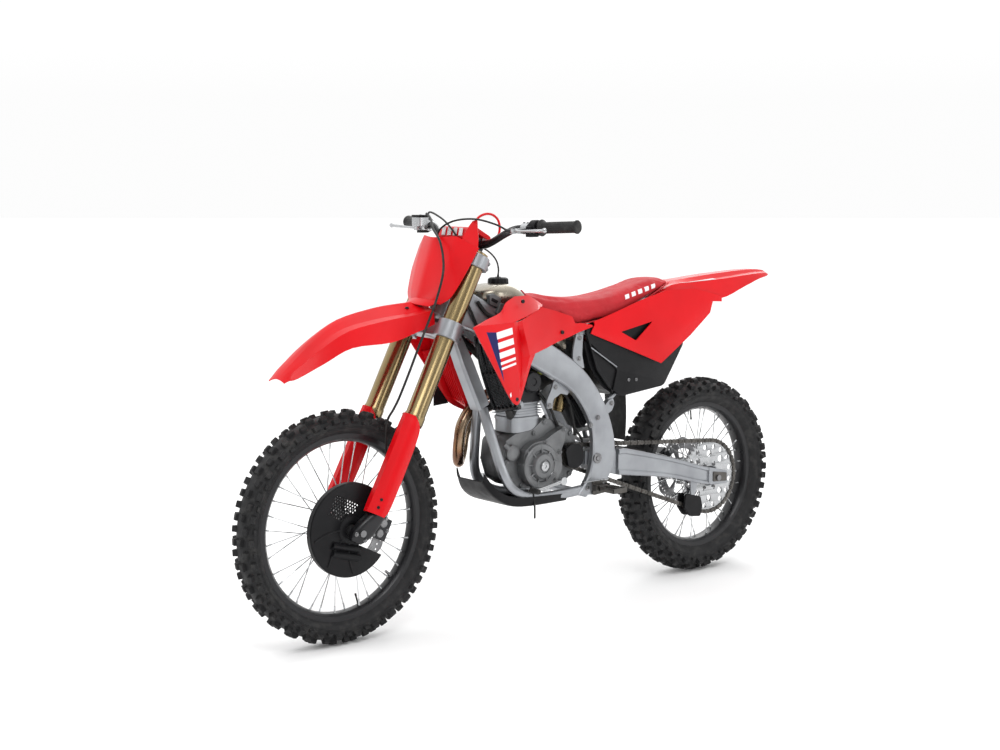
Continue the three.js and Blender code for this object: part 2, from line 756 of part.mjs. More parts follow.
// A closed ring across the machine: shares of the half-width and of the height, left side only.
const ringAcross = (x, low, high, half, shares) => {
  const left = shares.map(([wide, rise]) => [x, -half * wide, low + (high - low) * rise]);
  return [...left, ...left.map(([, y, z]) => [x, -y, z]).reverse()];
};
const TANK_SHARES = [[0.6, 0], [1, 0.35], [0.92, 0.8], [0.55, 1]];
const tankRing = (x, low, high, half) => ringAcross(x, low, high, half, TANK_SHARES);
const tank = loft([
  tankRing(-232, 985, 1014, 40),
  tankRing(-190, 968, 1030, 66),
  tankRing(-120, 925, 1032, 72),
  tankRing(-78, 900, 1008, 72),
  tankRing(-50, 880, 962, 72),
  tankRing(40, 832, 908, 72),
  tankRing(96, 806, 862, 60),
]);
const TANK_CAP = [-133, 0];
const tankWithCap = join(
  tank,
  at(new THREE.CylinderGeometry(33, 33, 30, 20).rotateX(Math.PI / 2), ...TANK_CAP, 1034),
);
add("fuel_tank", tankWithCap, MATERIAL.titanium);

// ---------------------------------------------------------------- bodywork
// Outer faces of the left side, from the leading edge back; rows run downwards.
const shroudUpper = [
  [
    [-381, -190, 925], [-356, -182, 932], [-290, -163, 947], [-240, -148, 962], [-213, -134, 984],
    [-162, -114, 1000], [-86, -92, 1000], [-12, -104, 962], [64, -106, 932], [171, -101, 896],
  ],
  [
    [-383, -192, 922], [-361, -191, 927], [-287, -185, 927], [-214, -175, 928], [-174, -165, 931],
    [-119, -148, 947], [-67, -134, 964], [3, -118, 948], [78, -110, 926], [171, -103, 894],
  ],
  [
    [-363, -191, 892], [-346, -190, 887], [-278, -183, 888], [-207, -174, 891], [-162, -163, 891],
    [-102, -145, 905], [-56, -133, 925], [8, -119, 916], [67, -111, 905], [171, -103, 892],
  ],
  [
    [-343, -189, 863], [-328, -188, 857], [-265, -182, 854], [-200, -173, 853], [-145, -158, 850],
    [-93, -143, 864], [-49, -132, 879], [6, -119, 881], [62, -111, 883], [171, -103, 890],
  ],
  [
    [-323, -188, 833], [-308, -186, 826], [-253, -180, 823], [-199, -173, 821], [-134, -155, 819],
    [-88, -139, 827], [-45, -129, 836], [4, -118, 849], [57, -112, 861], [171, -103, 888],
  ],
];
const shroudWing = [
  [
    [-328, -188.3, 840], [-310, -187, 834], [-254, -180, 831], [-199, -173, 829],
    [-135, -155, 827], [-108, -146, 830],
  ],
  [
    [-294, -185, 791], [-281, -184, 784], [-237, -178, 783], [-190, -170, 782],
    [-151, -159, 779], [-128, -151, 788],
  ],
  [
    [-265, -182, 749], [-255, -180, 743], [-219, -175, 742], [-182, -168, 742],
    [-169, -164, 741], [-151, -158, 745],
  ],
  [
    [-235, -178, 706], [-228, -177, 704], [-209, -174, 704], [-192, -170, 703],
    [-178, -166, 706], [-168, -163, 712],
  ],
  [
    [-216, -175, 686], [-211, -174, 682], [-205, -174, 678], [-199, -173, 677],
    [-188, -169, 681], [-182, -167, 688],
  ],
];
const INSIDE_LEFT = [0, 2000, 850];
const shroud = join(skin(shroudUpper, 3.6, INSIDE_LEFT), skin(shroudWing, 3.6, INSIDE_LEFT));
addPair("shroud", shroud, MATERIAL.redPlastic);

const sidePanelRows = [
  [
    [178, -103, 905], [272, -102, 930], [382, -100, 962], [506, -95, 990],
    [644, -91, 990], [734, -90, 970], [781, -89, 958],
  ],
  [
    [177, -106, 893], [290, -108, 890], [420, -110, 898], [548, -102, 925],
    [668, -95, 945], [734, -91, 957], [781, -89, 952],
  ],
  [
    [168, -107, 880], [300, -113, 848], [446, -117, 822], [588, -106, 875],
    [700, -95, 922], [732, -92, 950], [781, -89, 946],
  ],
  [
    [161, -107, 867], [305, -114, 813], [464, -119, 753], [615, -104, 836],
    [719, -94, 905], [734, -92, 943], [781, -89, 940],
  ],
];
const sidePanel = skin(sidePanelRows, 3.6, INSIDE_LEFT);
const mufflerRoom = rod([320, 145, 708], [790, 158, 817], 63, 16);
add("side_panel_left", sidePanel, MATERIAL.redPlastic);
add("side_panel_right", cut(mirrored(sidePanel), mufflerRoom), MATERIAL.redPlastic);

const rearFender = skin(
  [
    acrossRow(500, [[0, 978], [40, 976], [72, 962]]),
    acrossRow(560, [[0, 1006], [44, 1003], [80, 984]]),
    acrossRow(660, [[0, 1014], [48, 1009], [82, 978]]),
    acrossRow(781, [[0, 1022], [48, 1014], [80, 950]]),
    acrossRow(923, [[0, 1030], [42, 1024], [64, 985]]),
    acrossRow(1010, [[0, 1034], [36, 1030], [52, 1008]]),
    acrossRow(LENGTH / 2, [[0, 1030], [22, 1028], [34, 1020]]),
  ],
  3.4,
  [700, 0, 300],
);
add("rear_fender", rearFender, MATERIAL.redPlastic);

// Sections from the nose over the tank to the tail: x, top, bottom, half-width.
const SEAT_SHARES = [[0.94, 0], [1, 0.45], [0.82, 0.86], [0.4, 1]];
const seatRing = ([x, top, low, half]) => ringAcross(x, low, top, half, SEAT_SHARES);
const seat = loft(
  [
    [-66, 1014, 1009, 34],
    [-30, 1004, 968, 56],
    [40, 986, 922, 78],
    [120, 976, 897, 90],
    [210, 974, 904, 91],
    [300, 984, 914, 91],
    [400, 1004, 952, 88],
    [480, 1024, 985, 84],
    [545, 1031, 1010, 70],
  ].map(seatRing),
);
add("seat", seat, MATERIAL.seatCover);

// The tyre's path at full bump bounds everything above and ahead of it.
const tyreRoom = plate(
  [
    [900, 400], [386, 400], [386, 604], [400, 700], [434, 780],
    [486, 850], [548, 902], [640, 944], [900, 960],
  ],
  -66,
  66,
);
const airboxOutline = [
  [150, 842], [176, 760], [230, 690], [300, 652], [380, 652],
  [500, 700], [540, 890], [420, 880], [300, 862],
];
const coverOutline = [
  [146, 880], [196, 748], [246, 690], [300, 655], [496, 676],
  [588, 812], [552, 890], [440, 926], [300, 905],
];
const shockRoom = rod([166, 0, 755], [265, 0, 424], 46, 16);
const filterRoom = block(120, 420, -51, 51, 700, 835);
const airboxCore = cut(plate(airboxOutline, -57, 57), filterRoom, shockRoom, tyreRoom);
const coverPlate = plate(coverOutline, -98, -94);
const airbox = join(
  airboxCore,
  coverPlate,
  cut(mirrored(coverPlate), mufflerRoom),
  ...[-1, 1].flatMap((side) => [
    rod([240, side * 95, 790], [240, side * 54, 790], 9, 8),
    rod([330, side * 95, 850], [330, side * 54, 850], 8, 8),
  ]),
  block(362, 370, -48, 48, 500, 660),
);
add("airbox", airbox, MATERIAL.blackPlastic);

const skidPlate = skin(
  [
    [-246, 428, 66], [-218, 386, 82], [-178, 356, 92],
    [-128, 341, 96], [-50, 336.5, 98], [70, 336.5, 96],
  ].map(([x, z, half]) =>
    [-1, -0.5, 0, 0.5, 1].map((k) => [x + 8 * k * k, half * k, z + (Math.abs(k) > 0.9 ? 6 : 0)])),
  3.6,
  [20, 0, 600],
);
add("skid_plate", skidPlate, MATERIAL.blackPlastic);

// ---------------------------------------------------------------- rear suspension
const alongShock = (share) => [
  SHOCK.top[0] + (SHOCK.foot[0] - SHOCK.top[0]) * share, 0,
  SHOCK.top[1] + (SHOCK.foot[1] - SHOCK.top[1]) * share,
];
const shockBody = cut(
  join(
    rod(alongShock(0.03), alongShock(0.13), 27, 16),
    rod(alongShock(0.12), alongShock(0.42), 23, 16),
    rod([110, -34, 700], [84, -34, 615], 19, 14),
    block(94, 162, -44, 6, 698.8, 709),
  ),
  rod(alongShock(0.09), alongShock(0.45), 10, 14),
);
add("shock_body", shockBody, MATERIAL.castAlloy);
add(
  "shock_spring",
  cut(rod(alongShock(0.14), alongShock(0.89), 40, 16), rod(alongShock(0.1), alongShock(0.92), 27, 16)),
  MATERIAL.spring,
);
add(
  "shock_shaft",
  join(
    rod(alongShock(0.41), alongShock(0.95), 8, 12),
    rod(alongShock(0.9), alongShock(0.935), 39, 16),
    rod(alongShock(0.93), alongShock(1), 18, 10),
  ),
  MATERIAL.steel,
);

const armBeam = (side) =>
  loft(
    [
      [286, 484, 398, 111, 80],
      [330, 480, 392, 112, 84],
      [520, 432, 362, 112, 86],
      [700, 378, 318, 112, 88],
      [790, 356, 312, 112, 92],
    ].map(([x, top, low, out, inn]) => [
      [x, side * out, top], [x, side * inn, top], [x, side * inn, low], [x, side * out, low],
    ]),
  );
const yoke = (side) =>
  loft(
    [
      [158, 488, 442, 88, 52],
      [214, 490, 428, 88, 52],
      [280, 482, 400, 90, 52],
      [300, 474, 400, 106, 52],
      [335, 462, 398, 106, 52],
    ].map(([x, top, low, out, inn]) => [
      [x, side * out, top], [x, side * inn, top], [x, side * inn, low], [x, side * out, low],
    ]),
  );
const swingarm = cut(
  join(
    armBeam(-1), armBeam(1), yoke(-1), yoke(1),
    rod([SWING_PIVOT.x, -88, SWING_PIVOT.z], [SWING_PIVOT.x, 88, SWING_PIVOT.z], 22, 18),
    block(316, 342, -60, 60, 402, 458),
  ),
  pivotBore,
  drum(REAR_AXLE.x, REAR_AXLE.z, 10 + GAP, -140, 140, 18),
);
add("swingarm", swingarm, MATERIAL.frameAlloy);

const chainLoop = (offset) => {
  const small = pitchRadius(CHAIN.driveTeeth) + offset;
  const large = pitchRadius(CHAIN.wheelTeeth) + offset;
  const slope = Math.atan2(REAR_AXLE.z - COUNTERSHAFT.z, REAR_AXLE.x - COUNTERSHAFT.x);
  const span = Math.hypot(REAR_AXLE.z - COUNTERSHAFT.z, REAR_AXLE.x - COUNTERSHAFT.x);
  const flare = Math.asin((large - small) / span);
  const arc = (centre, radius, from, to, steps) =>
    Array.from({ length: steps + 1 }, (_, i) => {
      const turn = slope + from + ((to - from) * i) / steps;
      return [centre.x + radius * Math.cos(turn), centre.z + radius * Math.sin(turn)];
    });
  return [
    ...arc(REAR_AXLE, large, -Math.PI / 2 - flare, Math.PI / 2 + flare, 14),
    ...arc(COUNTERSHAFT, small, Math.PI / 2 + flare, (3 * Math.PI) / 2 - flare, 6),
  ];
};
const chainPlate = (y0, y1) => cut(
  plate(chainLoop(CHAIN.halfHeight), y0, y1),
  plate(chainLoop(-CHAIN.halfHeight), y0 - 1, y1 + 1),
);
const chainRollers = () => {
  const loop = chainLoop(0);
  const [topRear, topFront] = [loop[14], loop[15]];
  const [lowFront, lowRear] = [loop[21], loop[0]];
  const between = (a, b, t) => [a[0] + (b[0] - a[0]) * t, a[1] + (b[1] - a[1]) * t];
  return [0.15, 0.3, 0.45, 0.6, 0.75, 0.9].flatMap((t) =>
    [between(topRear, topFront, t), between(lowFront, lowRear, t)].map(([x, z]) =>
      drum(x, z, 5, CHAIN.y - 6, CHAIN.y + 6, 8)));
};
add(
  "chain",
  join(
    chainPlate(CHAIN.y - 8, CHAIN.y - 4.5),
    chainPlate(CHAIN.y + 4.5, CHAIN.y + 8),
    ...chainRollers(),
  ),
  MATERIAL.steel,
);

// ---------------------------------------------------------------- foot controls
const PEG = { x: 196, z: 372, hinge: 128 };
const footpeg = join(
  block(PEG.x - 28, PEG.x + 28, -212, -142, PEG.z - 8, PEG.z + 8),
  block(PEG.x - 12, PEG.x + 12, -144, -122, PEG.z - 8, PEG.z + 8),
);
addPair("footpeg", footpeg, MATERIAL.steel);

const SHIFT_PIVOT = [30, 410];
add(
  "shift_lever",
  join(
    drum(SHIFT_PIVOT[0], SHIFT_PIVOT[1], 11, -128, -114, 14),
    pipe([[SHIFT_PIVOT[0], -122, SHIFT_PIVOT[1]], [-30, -128, 404], [-108, -136, 398]], 6, 8, 6),
    rod([-108, -130, 398], [-108, -170, 398], 8, 10),
  ),
  MATERIAL.castAlloy,
);
const PEDAL_PIVOT = [176, 330];
add(
  "rear_brake_pedal",
  join(
    drum(PEDAL_PIVOT[0], PEDAL_PIVOT[1], 12, 118, 132, 14),
    pipe(
      [[PEDAL_PIVOT[0], 125, PEDAL_PIVOT[1]], [90, 132, 352], [0, 140, 384], [-52, 146, 398]],
      6.5, 10, 6,
    ),
    block(-76, -40, 138, 172, 394, 408),
  ),
  MATERIAL.castAlloy,
);

export default motorcycle;
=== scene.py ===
import math

import bmesh
import bpy
from mathutils import Matrix, Vector


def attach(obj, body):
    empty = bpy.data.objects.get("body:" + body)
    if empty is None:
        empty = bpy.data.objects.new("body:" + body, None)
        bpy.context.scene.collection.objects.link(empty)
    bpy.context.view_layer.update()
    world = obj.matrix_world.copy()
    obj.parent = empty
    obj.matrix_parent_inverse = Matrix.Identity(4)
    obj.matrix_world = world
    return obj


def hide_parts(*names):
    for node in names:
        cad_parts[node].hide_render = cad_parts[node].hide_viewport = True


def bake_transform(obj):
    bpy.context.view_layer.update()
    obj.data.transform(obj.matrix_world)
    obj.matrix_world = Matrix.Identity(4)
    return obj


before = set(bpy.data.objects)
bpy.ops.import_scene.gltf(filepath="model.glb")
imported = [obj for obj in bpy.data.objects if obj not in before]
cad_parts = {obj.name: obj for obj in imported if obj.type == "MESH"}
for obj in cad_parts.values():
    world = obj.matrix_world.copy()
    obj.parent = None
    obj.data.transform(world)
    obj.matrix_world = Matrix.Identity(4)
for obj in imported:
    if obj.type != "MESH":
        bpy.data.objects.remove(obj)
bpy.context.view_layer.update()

# A motocross motorcycle. Lengths are in millimetres in the row frame: +X to the rear, +Y to the
# rider's right, +Z up. Shapes are pairs of (points, faces); piece() turns one into an object.
MM = 0.001
TAU = 2 * math.pi
ORIGIN = Vector((0, 0, 0))

CASTER = math.radians(27.1)
STEER_FOOT = Vector((-847.5, 0, 0))
STEER_UP = Vector((math.sin(CASTER), 0, math.cos(CASTER)))
STEER_BACK = Vector((math.cos(CASTER), 0, -math.sin(CASTER)))
FRONT_AXLE = Vector((-733.5, 0, 346.5))
REAR_AXLE = Vector((747.5, 0, 337.5))
COUNTERSHAFT = Vector((105, 0, 478))
LEG = {"x": -22, "y": 104, "tube": 29.5, "slider": 24.5}
AXLE_IN_FORK = (-56.3, 360.4)
CHAIN = {"y": -70, "pitch": 15.875, "drive": 13, "wheel": 49}


# ---------------------------------------------------------------- shapes
def merge(*shapes):
    """One shape out of several."""
    points, faces = [], []
    for some_points, some_faces in shapes:
        base = len(points)
        points += [Vector(p) for p in some_points]
        faces += [[i + base for i in face] for face in some_faces]
    return points, faces


def moved(shape, offset):
    return [Vector(p) + Vector(offset) for p in shape[0]], shape[1]


def turned(shape, axis, angle, about=ORIGIN):
    turn = Matrix.Rotation(angle, 3, axis)
    return [turn @ (Vector(p) - about) + about for p in shape[0]], shape[1]


def mirrored(shape):
    return [Vector((p[0], -p[1], p[2])) for p in shape[0]], [face[::-1] for face in shape[1]]


def between_rings(rings, closed=False, caps=True):
    """Quads from ring to ring; closed joins the last ring to the first."""
    across = len(rings[0])
    points = [Vector(p) for ring in rings for p in ring]
    faces = []
    for i in range(len(rings) if closed else len(rings) - 1):
        a, b = i * across, (i + 1) % len(rings) * across
        for j in range(across):
            k = (j + 1) % across
            faces.append([a + j, a + k, b + k, b + j])
    if caps and not closed:
        faces.append(list(range(across))[::-1])
        faces.append([(len(rings) - 1) * across + j for j in range(across)])
    return points, faces


def lathe(profile, centre, segments=64):
    """A closed profile of (radius, width) turned about the line along Y through centre."""
    rings = []
    for i in range(segments):
        turn = TAU * i / segments
        rings.append([centre + Vector((r * math.cos(turn), y, r * math.sin(turn))) for r, y in profile])
    return between_rings(rings, closed=True)


def frame_along(direction):
    """Two unit vectors square to direction and to each other."""
    side = direction.cross(Vector((0, 0, 1)))
    if side.length < 0.1:
        side = direction.cross(Vector((0, 1, 0)))
    side.normalize()
    return side, side.cross(direction).normalized()


def ring_at(centre, side, up, radius, segments):
    """A circle of points around centre, in the plane of side and up."""
    turns = [TAU * k / segments for k in range(segments)]
    return [centre + side * (radius * math.cos(t)) + up * (radius * math.sin(t)) for t in turns]


def rod(start, end, radius, segments=24, end_radius=None):
    """A round bar from start to end, tapered where end_radius is given."""
    start, end = Vector(start), Vector(end)
    side, up = frame_along((end - start).normalized())
    end_radius = radius if end_radius is None else end_radius
    return between_rings([
        ring_at(start, side, up, radius, segments),
        ring_at(end, side, up, end_radius, segments),
    ])


def stepped_rod(start, direction, sizes, segments=32):
    """A turned part: sizes lists (distance along, radius)."""
    direction = Vector(direction).normalized()
    side, up = frame_along(direction)
    return between_rings([
        ring_at(Vector(start) + direction * along, side, up, radius, segments)
        for along, radius in sizes
    ])


def smooth_line(points, steps=8, corners=()):
    """Points on a smooth curve through the given ones, with a corner at each index in corners."""
    points = [Vector(p) for p in points]
    out = [points[0]]
    cuts = [0, *sorted(corners), len(points) - 1]
    for first, last in zip(cuts, cuts[1:]):
        run = points[first : last + 1]
        for i in range(len(run) - 1):
            before = run[i - 1] if i else run[0] * 2 - run[1]
            after = run[i + 2] if i + 2 < len(run) else run[-1] * 2 - run[-2]
            a, b = run[i], run[i + 1]
            for k in range(1, steps + 1):
                t = k / steps
                out.append(
                    0.5 * (2 * a + (b - before) * t + (2 * before - 5 * a + 4 * b - after) * t**2
                           + (3 * a - before - 3 * b + after) * t**3)
                )
    return out


def tube(points, radius, segments=16, steps=8, corners=(), smooth=True):
    """A round tube along a line; radius is a number or a function of the share of the way."""
    line = smooth_line(points, steps, corners) if smooth else [Vector(p) for p in points]
    rings = []
    side = None
    for i, point in enumerate(line):
        ahead = line[min(i + 1, len(line) - 1)] - line[max(i - 1, 0)]
        ahead.normalize()
        if side is None:
            side, up = frame_along(ahead)
        side = (side - ahead * side.dot(ahead)).normalized()
        up = side.cross(ahead)
        here = radius(i / (len(line) - 1)) if callable(radius) else radius
        rings.append(ring_at(point, side, up, here, segments))
    return between_rings(rings)


def prism(outline, y0, y1):
    """An outline of the side view, in x and z, pulled from y0 to y1."""
    return between_rings([[(x, y, z) for x, z in outline] for y in (y0, y1)])


def box(x0, x1, y0, y1, z0, z1):
    return prism([(x0, z0), (x1, z0), (x1, z1), (x0, z1)], y0, y1)


def rounded(outline, radius, steps=5):
    """The same outline with its corners rounded off."""
    out = []
    count = len(outline)
    for i in range(count):
        before, here, after = (Vector(outline[(i + k) % count]) for k in (-1, 0, 1))
        reach = min(radius, (before - here).length / 2.1, (after - here).length / 2.1)
        start = here + (before - here).normalized() * reach
        end = here + (after - here).normalized() * reach
        for k in range(steps + 1):
            t = k / steps
            out.append(tuple(start * (1 - t) ** 2 + here * (2 * t * (1 - t)) + end * t**2))
    return out


def ring_outline(centre, radius, count=48, wave=0, waves=1):
    """A circle in x and z, whose edge can be scalloped by a number of waves."""
    outline = []
    for k in range(count):
        turn = TAU * k / count
        reach = radius + wave * math.cos(waves * TAU * k / count)
        outline.append((centre[0] + reach * math.cos(turn), centre[1] + reach * math.sin(turn)))
    return outline


def pierced(outlines, y0, y1, bevel=0.3):
    """A flat plate of the side view. The first outline is its edge and the others are holes."""
    curve = bpy.data.curves.new("pierced", "CURVE")
    curve.dimensions = "2D"
    curve.fill_mode = "BOTH"
    curve.extrude = (y1 - y0) / 2 - bevel
    curve.bevel_depth = bevel
    curve.bevel_resolution = 1
    for outline in outlines:
        spline = curve.splines.new("POLY")
        spline.points.add(len(outline) - 1)
        spline.use_cyclic_u = True
        for point, (x, z) in zip(spline.points, outline):
            point.co = (x, z, 0, 1)
    holder = bpy.data.objects.new("pierced", curve)
    bpy.context.scene.collection.objects.link(holder)
    made = evaluated_mesh(holder)
    middle = (y0 + y1) / 2
    shape = (
        [Vector((v.co.x, middle - v.co.z, v.co.y)) for v in made.vertices],
        [list(face.vertices) for face in made.polygons],
    )
    bpy.data.objects.remove(holder)
    bpy.data.curves.remove(curve)
    bpy.data.meshes.remove(made)
    return shape


def refined(rows, steps=4, sharp_rows=(), sharp_columns=()):
    """A finer grid of points through the given rows, with creases at the sharp ones."""
    fine = [smooth_line(row, steps, sharp_columns) for row in rows]
    columns = [smooth_line(column, steps, sharp_rows) for column in zip(*fine)]
    return [list(row) for row in zip(*columns)]


def panel(rows, thickness, inside, steps=4, sharp_rows=(), sharp_columns=()):
    """A moulded shell: rows of points on its outer face, made thick towards inside."""
    rows = refined(rows, steps, sharp_rows, sharp_columns)
    m, n = len(rows), len(rows[0])
    outer, inner = [], []
    for i in range(m):
        for j in range(n):
            along = rows[min(i + 1, m - 1)][j] - rows[max(i - 1, 0)][j]
            over = rows[i][min(j + 1, n - 1)] - rows[i][max(j - 1, 0)]
            normal = along.cross(over).normalized()
            if normal.dot(Vector(inside) - rows[i][j]) < 0:
                normal.negate()
            outer.append(rows[i][j])
            inner.append(rows[i][j] + normal * thickness)
    faces = []
    half = m * n
    for i in range(m - 1):
        for j in range(n - 1):
            a = i * n + j
            faces.append([a, a + 1, a + n + 1, a + n])
            faces.append([half + a, half + a + n, half + a + n + 1, half + a + 1])
    rim = [j for j in range(n)] + [i * n + n - 1 for i in range(1, m)]
    rim += [(m - 1) * n + j for j in range(n - 2, -1, -1)] + [i * n for i in range(m - 2, 0, -1)]
    for k, a in enumerate(rim):
        b = rim[(k + 1) % len(rim)]
        faces.append([a, half + a, half + b, b])
    return outer + inner, faces


def in_fork(shape):
    """Moves a shape from the steering axis's own frame, whose +Z runs up the axis."""
    points, faces = shape
    placed = [STEER_FOOT + STEER_BACK * p[0] + Vector((0, p[1], 0)) + STEER_UP * p[2] for p in points]
    return placed, faces


def bolt(centre, direction, radius, height=4.0, washer=True):
    """A flanged hexagon bolt head standing on a face."""
    direction = Vector(direction).normalized()
    side, up = frame_along(direction)
    parts = []
    if washer:
        flange = [(-1, radius * 1.35), (1, radius * 1.35), (1.6, radius)]
        parts.append(stepped_rod(centre, direction, flange, 20))
    rings = [
        ring_at(Vector(centre) + direction * along, side, up, r, 6)
        for along, r in ((0, radius), (height - 0.8, radius), (height, radius * 0.88))
    ]
    parts.append(between_rings(rings))
    return merge(*parts)


def socket_screw(centre, direction, radius, height=4.0):
    """A round screw head with a hole for its key."""
    sizes = [(-2, radius), (height - 0.7, radius), (height, radius * 0.9), (height, radius * 0.5),
             (height * 0.4, radius * 0.5), (height * 0.4, 0.01)]
    return stepped_rod(centre, direction, sizes, 20)


# ---------------------------------------------------------------- materials
def node(tree, kind, **values):
    """A new node, with its sockets or its settings given by name."""
    made = tree.nodes.new(kind)
    for key, value in values.items():
        if key in made.inputs:
            made.inputs[key].default_value = value
        else:
            setattr(made, key, value)
    return made


def noise_of(tree, place, scale, detail=4.0, stretch=(1, 1, 1)):
    mapping = node(tree, "ShaderNodeMapping", Scale=stretch)
    texture = node(tree, "ShaderNodeTexNoise", Scale=scale, Detail=detail)
    tree.links.new(place, mapping.inputs["Vector"])
    tree.links.new(mapping.outputs["Vector"], texture.inputs["Vector"])
    return texture.outputs["Fac"]


def ranged(tree, value, low, high, from_low=0.3, from_high=0.7):
    made = node(tree, "ShaderNodeMapRange")
    for key, number in (("From Min", from_low), ("From Max", from_high), ("To Min", low), ("To Max", high)):
        made.inputs[key].default_value = number
    tree.links.new(value, made.inputs["Value"])
    return made.outputs["Result"]


def mixed(tree, share, first, second):
    made = node(tree, "ShaderNodeMix", data_type="RGBA")
    tree.links.new(share, made.inputs[0])
    for socket, colour in ((made.inputs[6], first), (made.inputs[7], second)):
        if isinstance(colour, tuple):
            socket.default_value = (*colour, 1)
        else:
            tree.links.new(colour, socket)
    return made.outputs[2]


def material(name, colour, rough, metallic=0.0, coat=0.0, sheen=0.0, tint=None, patches=14.0,
             grain=0.15, grain_scale=900.0, stretch=(1, 1, 1), rough_spread=0.08, extra=None, specular=0.5):
    """A base colour that drifts towards tint in patches, roughness that varies, and a fine grain."""
    made = bpy.data.materials.new(name)
    made.use_nodes = True
    tree = made.node_tree
    shader = tree.nodes["Principled BSDF"]
    place = node(tree, "ShaderNodeTexCoord").outputs["Object"]
    tint = tint or tuple(c * 0.8 for c in colour)
    drift = ranged(tree, noise_of(tree, place, patches), 0, 1)
    base = mixed(tree, drift, colour, tint)
    if extra:
        base = extra(tree, place, base)
    tree.links.new(base, shader.inputs["Base Color"])
    spread = ranged(tree, noise_of(tree, place, patches * 3, stretch=stretch), rough - rough_spread,
                    rough + rough_spread)
    tree.links.new(spread, shader.inputs["Roughness"])
    bump = node(tree, "ShaderNodeBump", Strength=grain, Distance=0.0004)
    tree.links.new(noise_of(tree, place, grain_scale, 3.0, stretch), bump.inputs["Height"])
    tree.links.new(bump.outputs["Normal"], shader.inputs["Normal"])
    shader.inputs["Metallic"].default_value = metallic
    shader.inputs["Specular IOR Level"].default_value = specular
    shader.inputs["Coat Weight"].default_value = coat
    shader.inputs["Coat Roughness"].default_value = 0.12
    shader.inputs["Sheen Weight"].default_value = sheen
    return made


def math_node(tree, operation, first, second):
    made = node(tree, "ShaderNodeMath", operation=operation)
    for socket, value in ((made.inputs[0], first), (made.inputs[1], second)):
        if isinstance(value, (int, float)):
            socket.default_value = value
        else:
            tree.links.new(value, socket)
    return made.outputs[0]


def polygon_mask(tree, place, corners):
    """1 inside a convex polygon of the side view, given in x and z, and 0 outside."""
    split = node(tree, "ShaderNodeSeparateXYZ")
    tree.links.new(place, split.inputs[0])
    middle = sum((Vector(c) for c in corners), Vector((0, 0))) / len(corners)
    mask = None
    for i, start in enumerate(corners):
        start, end = Vector(start) * MM, Vector(corners[(i + 1) % len(corners)]) * MM
        normal = Vector((start.y - end.y, end.x - start.x)).normalized()
        if normal.dot(middle * MM - start) < 0:
            normal.negate()
        across = math_node(tree, "MULTIPLY", split.outputs["X"], normal.x)
        upward = math_node(tree, "MULTIPLY", split.outputs["Z"], normal.y)
        depth = math_node(tree, "SUBTRACT", math_node(tree, "ADD", across, upward), normal.dot(start))
        inside = ranged(tree, depth, 0, 1, -0.0003, 0.0003)
        mask = inside if mask is None else math_node(tree, "MINIMUM", mask, inside)
    return mask


# ---------------------------------------------------------------- pieces
def evaluated_mesh(made):
    """The object's mesh with its modifiers applied."""
    return bpy.data.meshes.new_from_object(made.evaluated_get(bpy.context.evaluated_depsgraph_get()))


def piece(name, shape, paint, body, replaces=(), slot=None, bevel=0.0, sharp=35, subdivide=0, weld=0.01):
    points, faces = shape
    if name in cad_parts:
        name += "_detail"
    mesh = bpy.data.meshes.new(name)
    mesh.from_pydata([tuple(Vector(p) * MM) for p in points], [], faces)
    work = bmesh.new()
    work.from_mesh(mesh)
    if weld:
        bmesh.ops.remove_doubles(work, verts=work.verts, dist=weld * MM)
    bmesh.ops.dissolve_degenerate(work, edges=work.edges, dist=1e-7)
    bmesh.ops.recalc_face_normals(work, faces=work.faces)
    work.to_mesh(mesh)
    work.free()
    mesh.materials.append(paint)
    mesh.shade_smooth()
    mesh.set_sharp_from_angle(angle=math.radians(sharp))
    made = bpy.data.objects.new(name, mesh)
    bpy.context.scene.collection.objects.link(made)
    if bevel:
        edge = made.modifiers.new("edges", "BEVEL")
        edge.width = bevel * MM
        edge.segments = 2
        edge.limit_method = "ANGLE"
        edge.angle_limit = math.radians(sharp)
        edge.harden_normals = True
    if subdivide:
        finer = made.modifiers.new("finer", "SUBSURF")
        finer.levels = finer.render_levels = subdivide
    if body:
        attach(made, body)
    if replaces:
        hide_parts(*([replaces] if isinstance(replaces, str) else replaces))
    return made


# ---------------------------------------------------------------- the paints
def dots_with_painted_shade(tree, place, base):
    """Small raised dots of a gripper cover, given by colour alone, with painted shade darkening the gaps
    between them.
    """
    dots = node(tree, "ShaderNodeTexVoronoi", Scale=420.0)
    tree.links.new(place, dots.inputs["Vector"])
    shade = ranged(tree, dots.outputs["Distance"], 0.0, 0.35, 0.1, 0.6)
    # painted shade: the gaps between the dots are mixed towards a darker red
    return mixed(tree, shade, base, (0.40, 0.012, 0.018))


def dust(tree, place, base):
    """Pale dust rubbed into rubber."""
    return mixed(tree, ranged(tree, noise_of(tree, place, 40.0, 6.0), 0.0, 0.35, 0.5, 0.8), base,
                 (0.09, 0.085, 0.08))


def heat_tint(tree, place, base):
    """Straw, copper and violet bands where a steel pipe has been hot."""
    ramp = node(tree, "ShaderNodeValToRGB")
    stops = ((0.0, (0.30, 0.22, 0.15)), (0.35, (0.24, 0.12, 0.06)), (0.6, (0.13, 0.06, 0.055)),
             (1.0, (0.28, 0.19, 0.12)))
    while len(ramp.color_ramp.elements) < len(stops):
        ramp.color_ramp.elements.new(0.5)
    for element, (position, colour) in zip(ramp.color_ramp.elements, stops):
        element.position = position
        element.color = (*colour, 1)
    tree.links.new(ranged(tree, noise_of(tree, place, 9.0, 2.0), 0, 1, 0.35, 0.65), ramp.inputs["Fac"])
    return mixed(tree, ranged(tree, noise_of(tree, place, 20.0), 0.5, 1.0), base, ramp.outputs["Color"])


RED = (0.70, 0.002, 0.007)
NAVY = (0.006, 0.008, 0.09)
WHITE = (0.82, 0.82, 0.84)


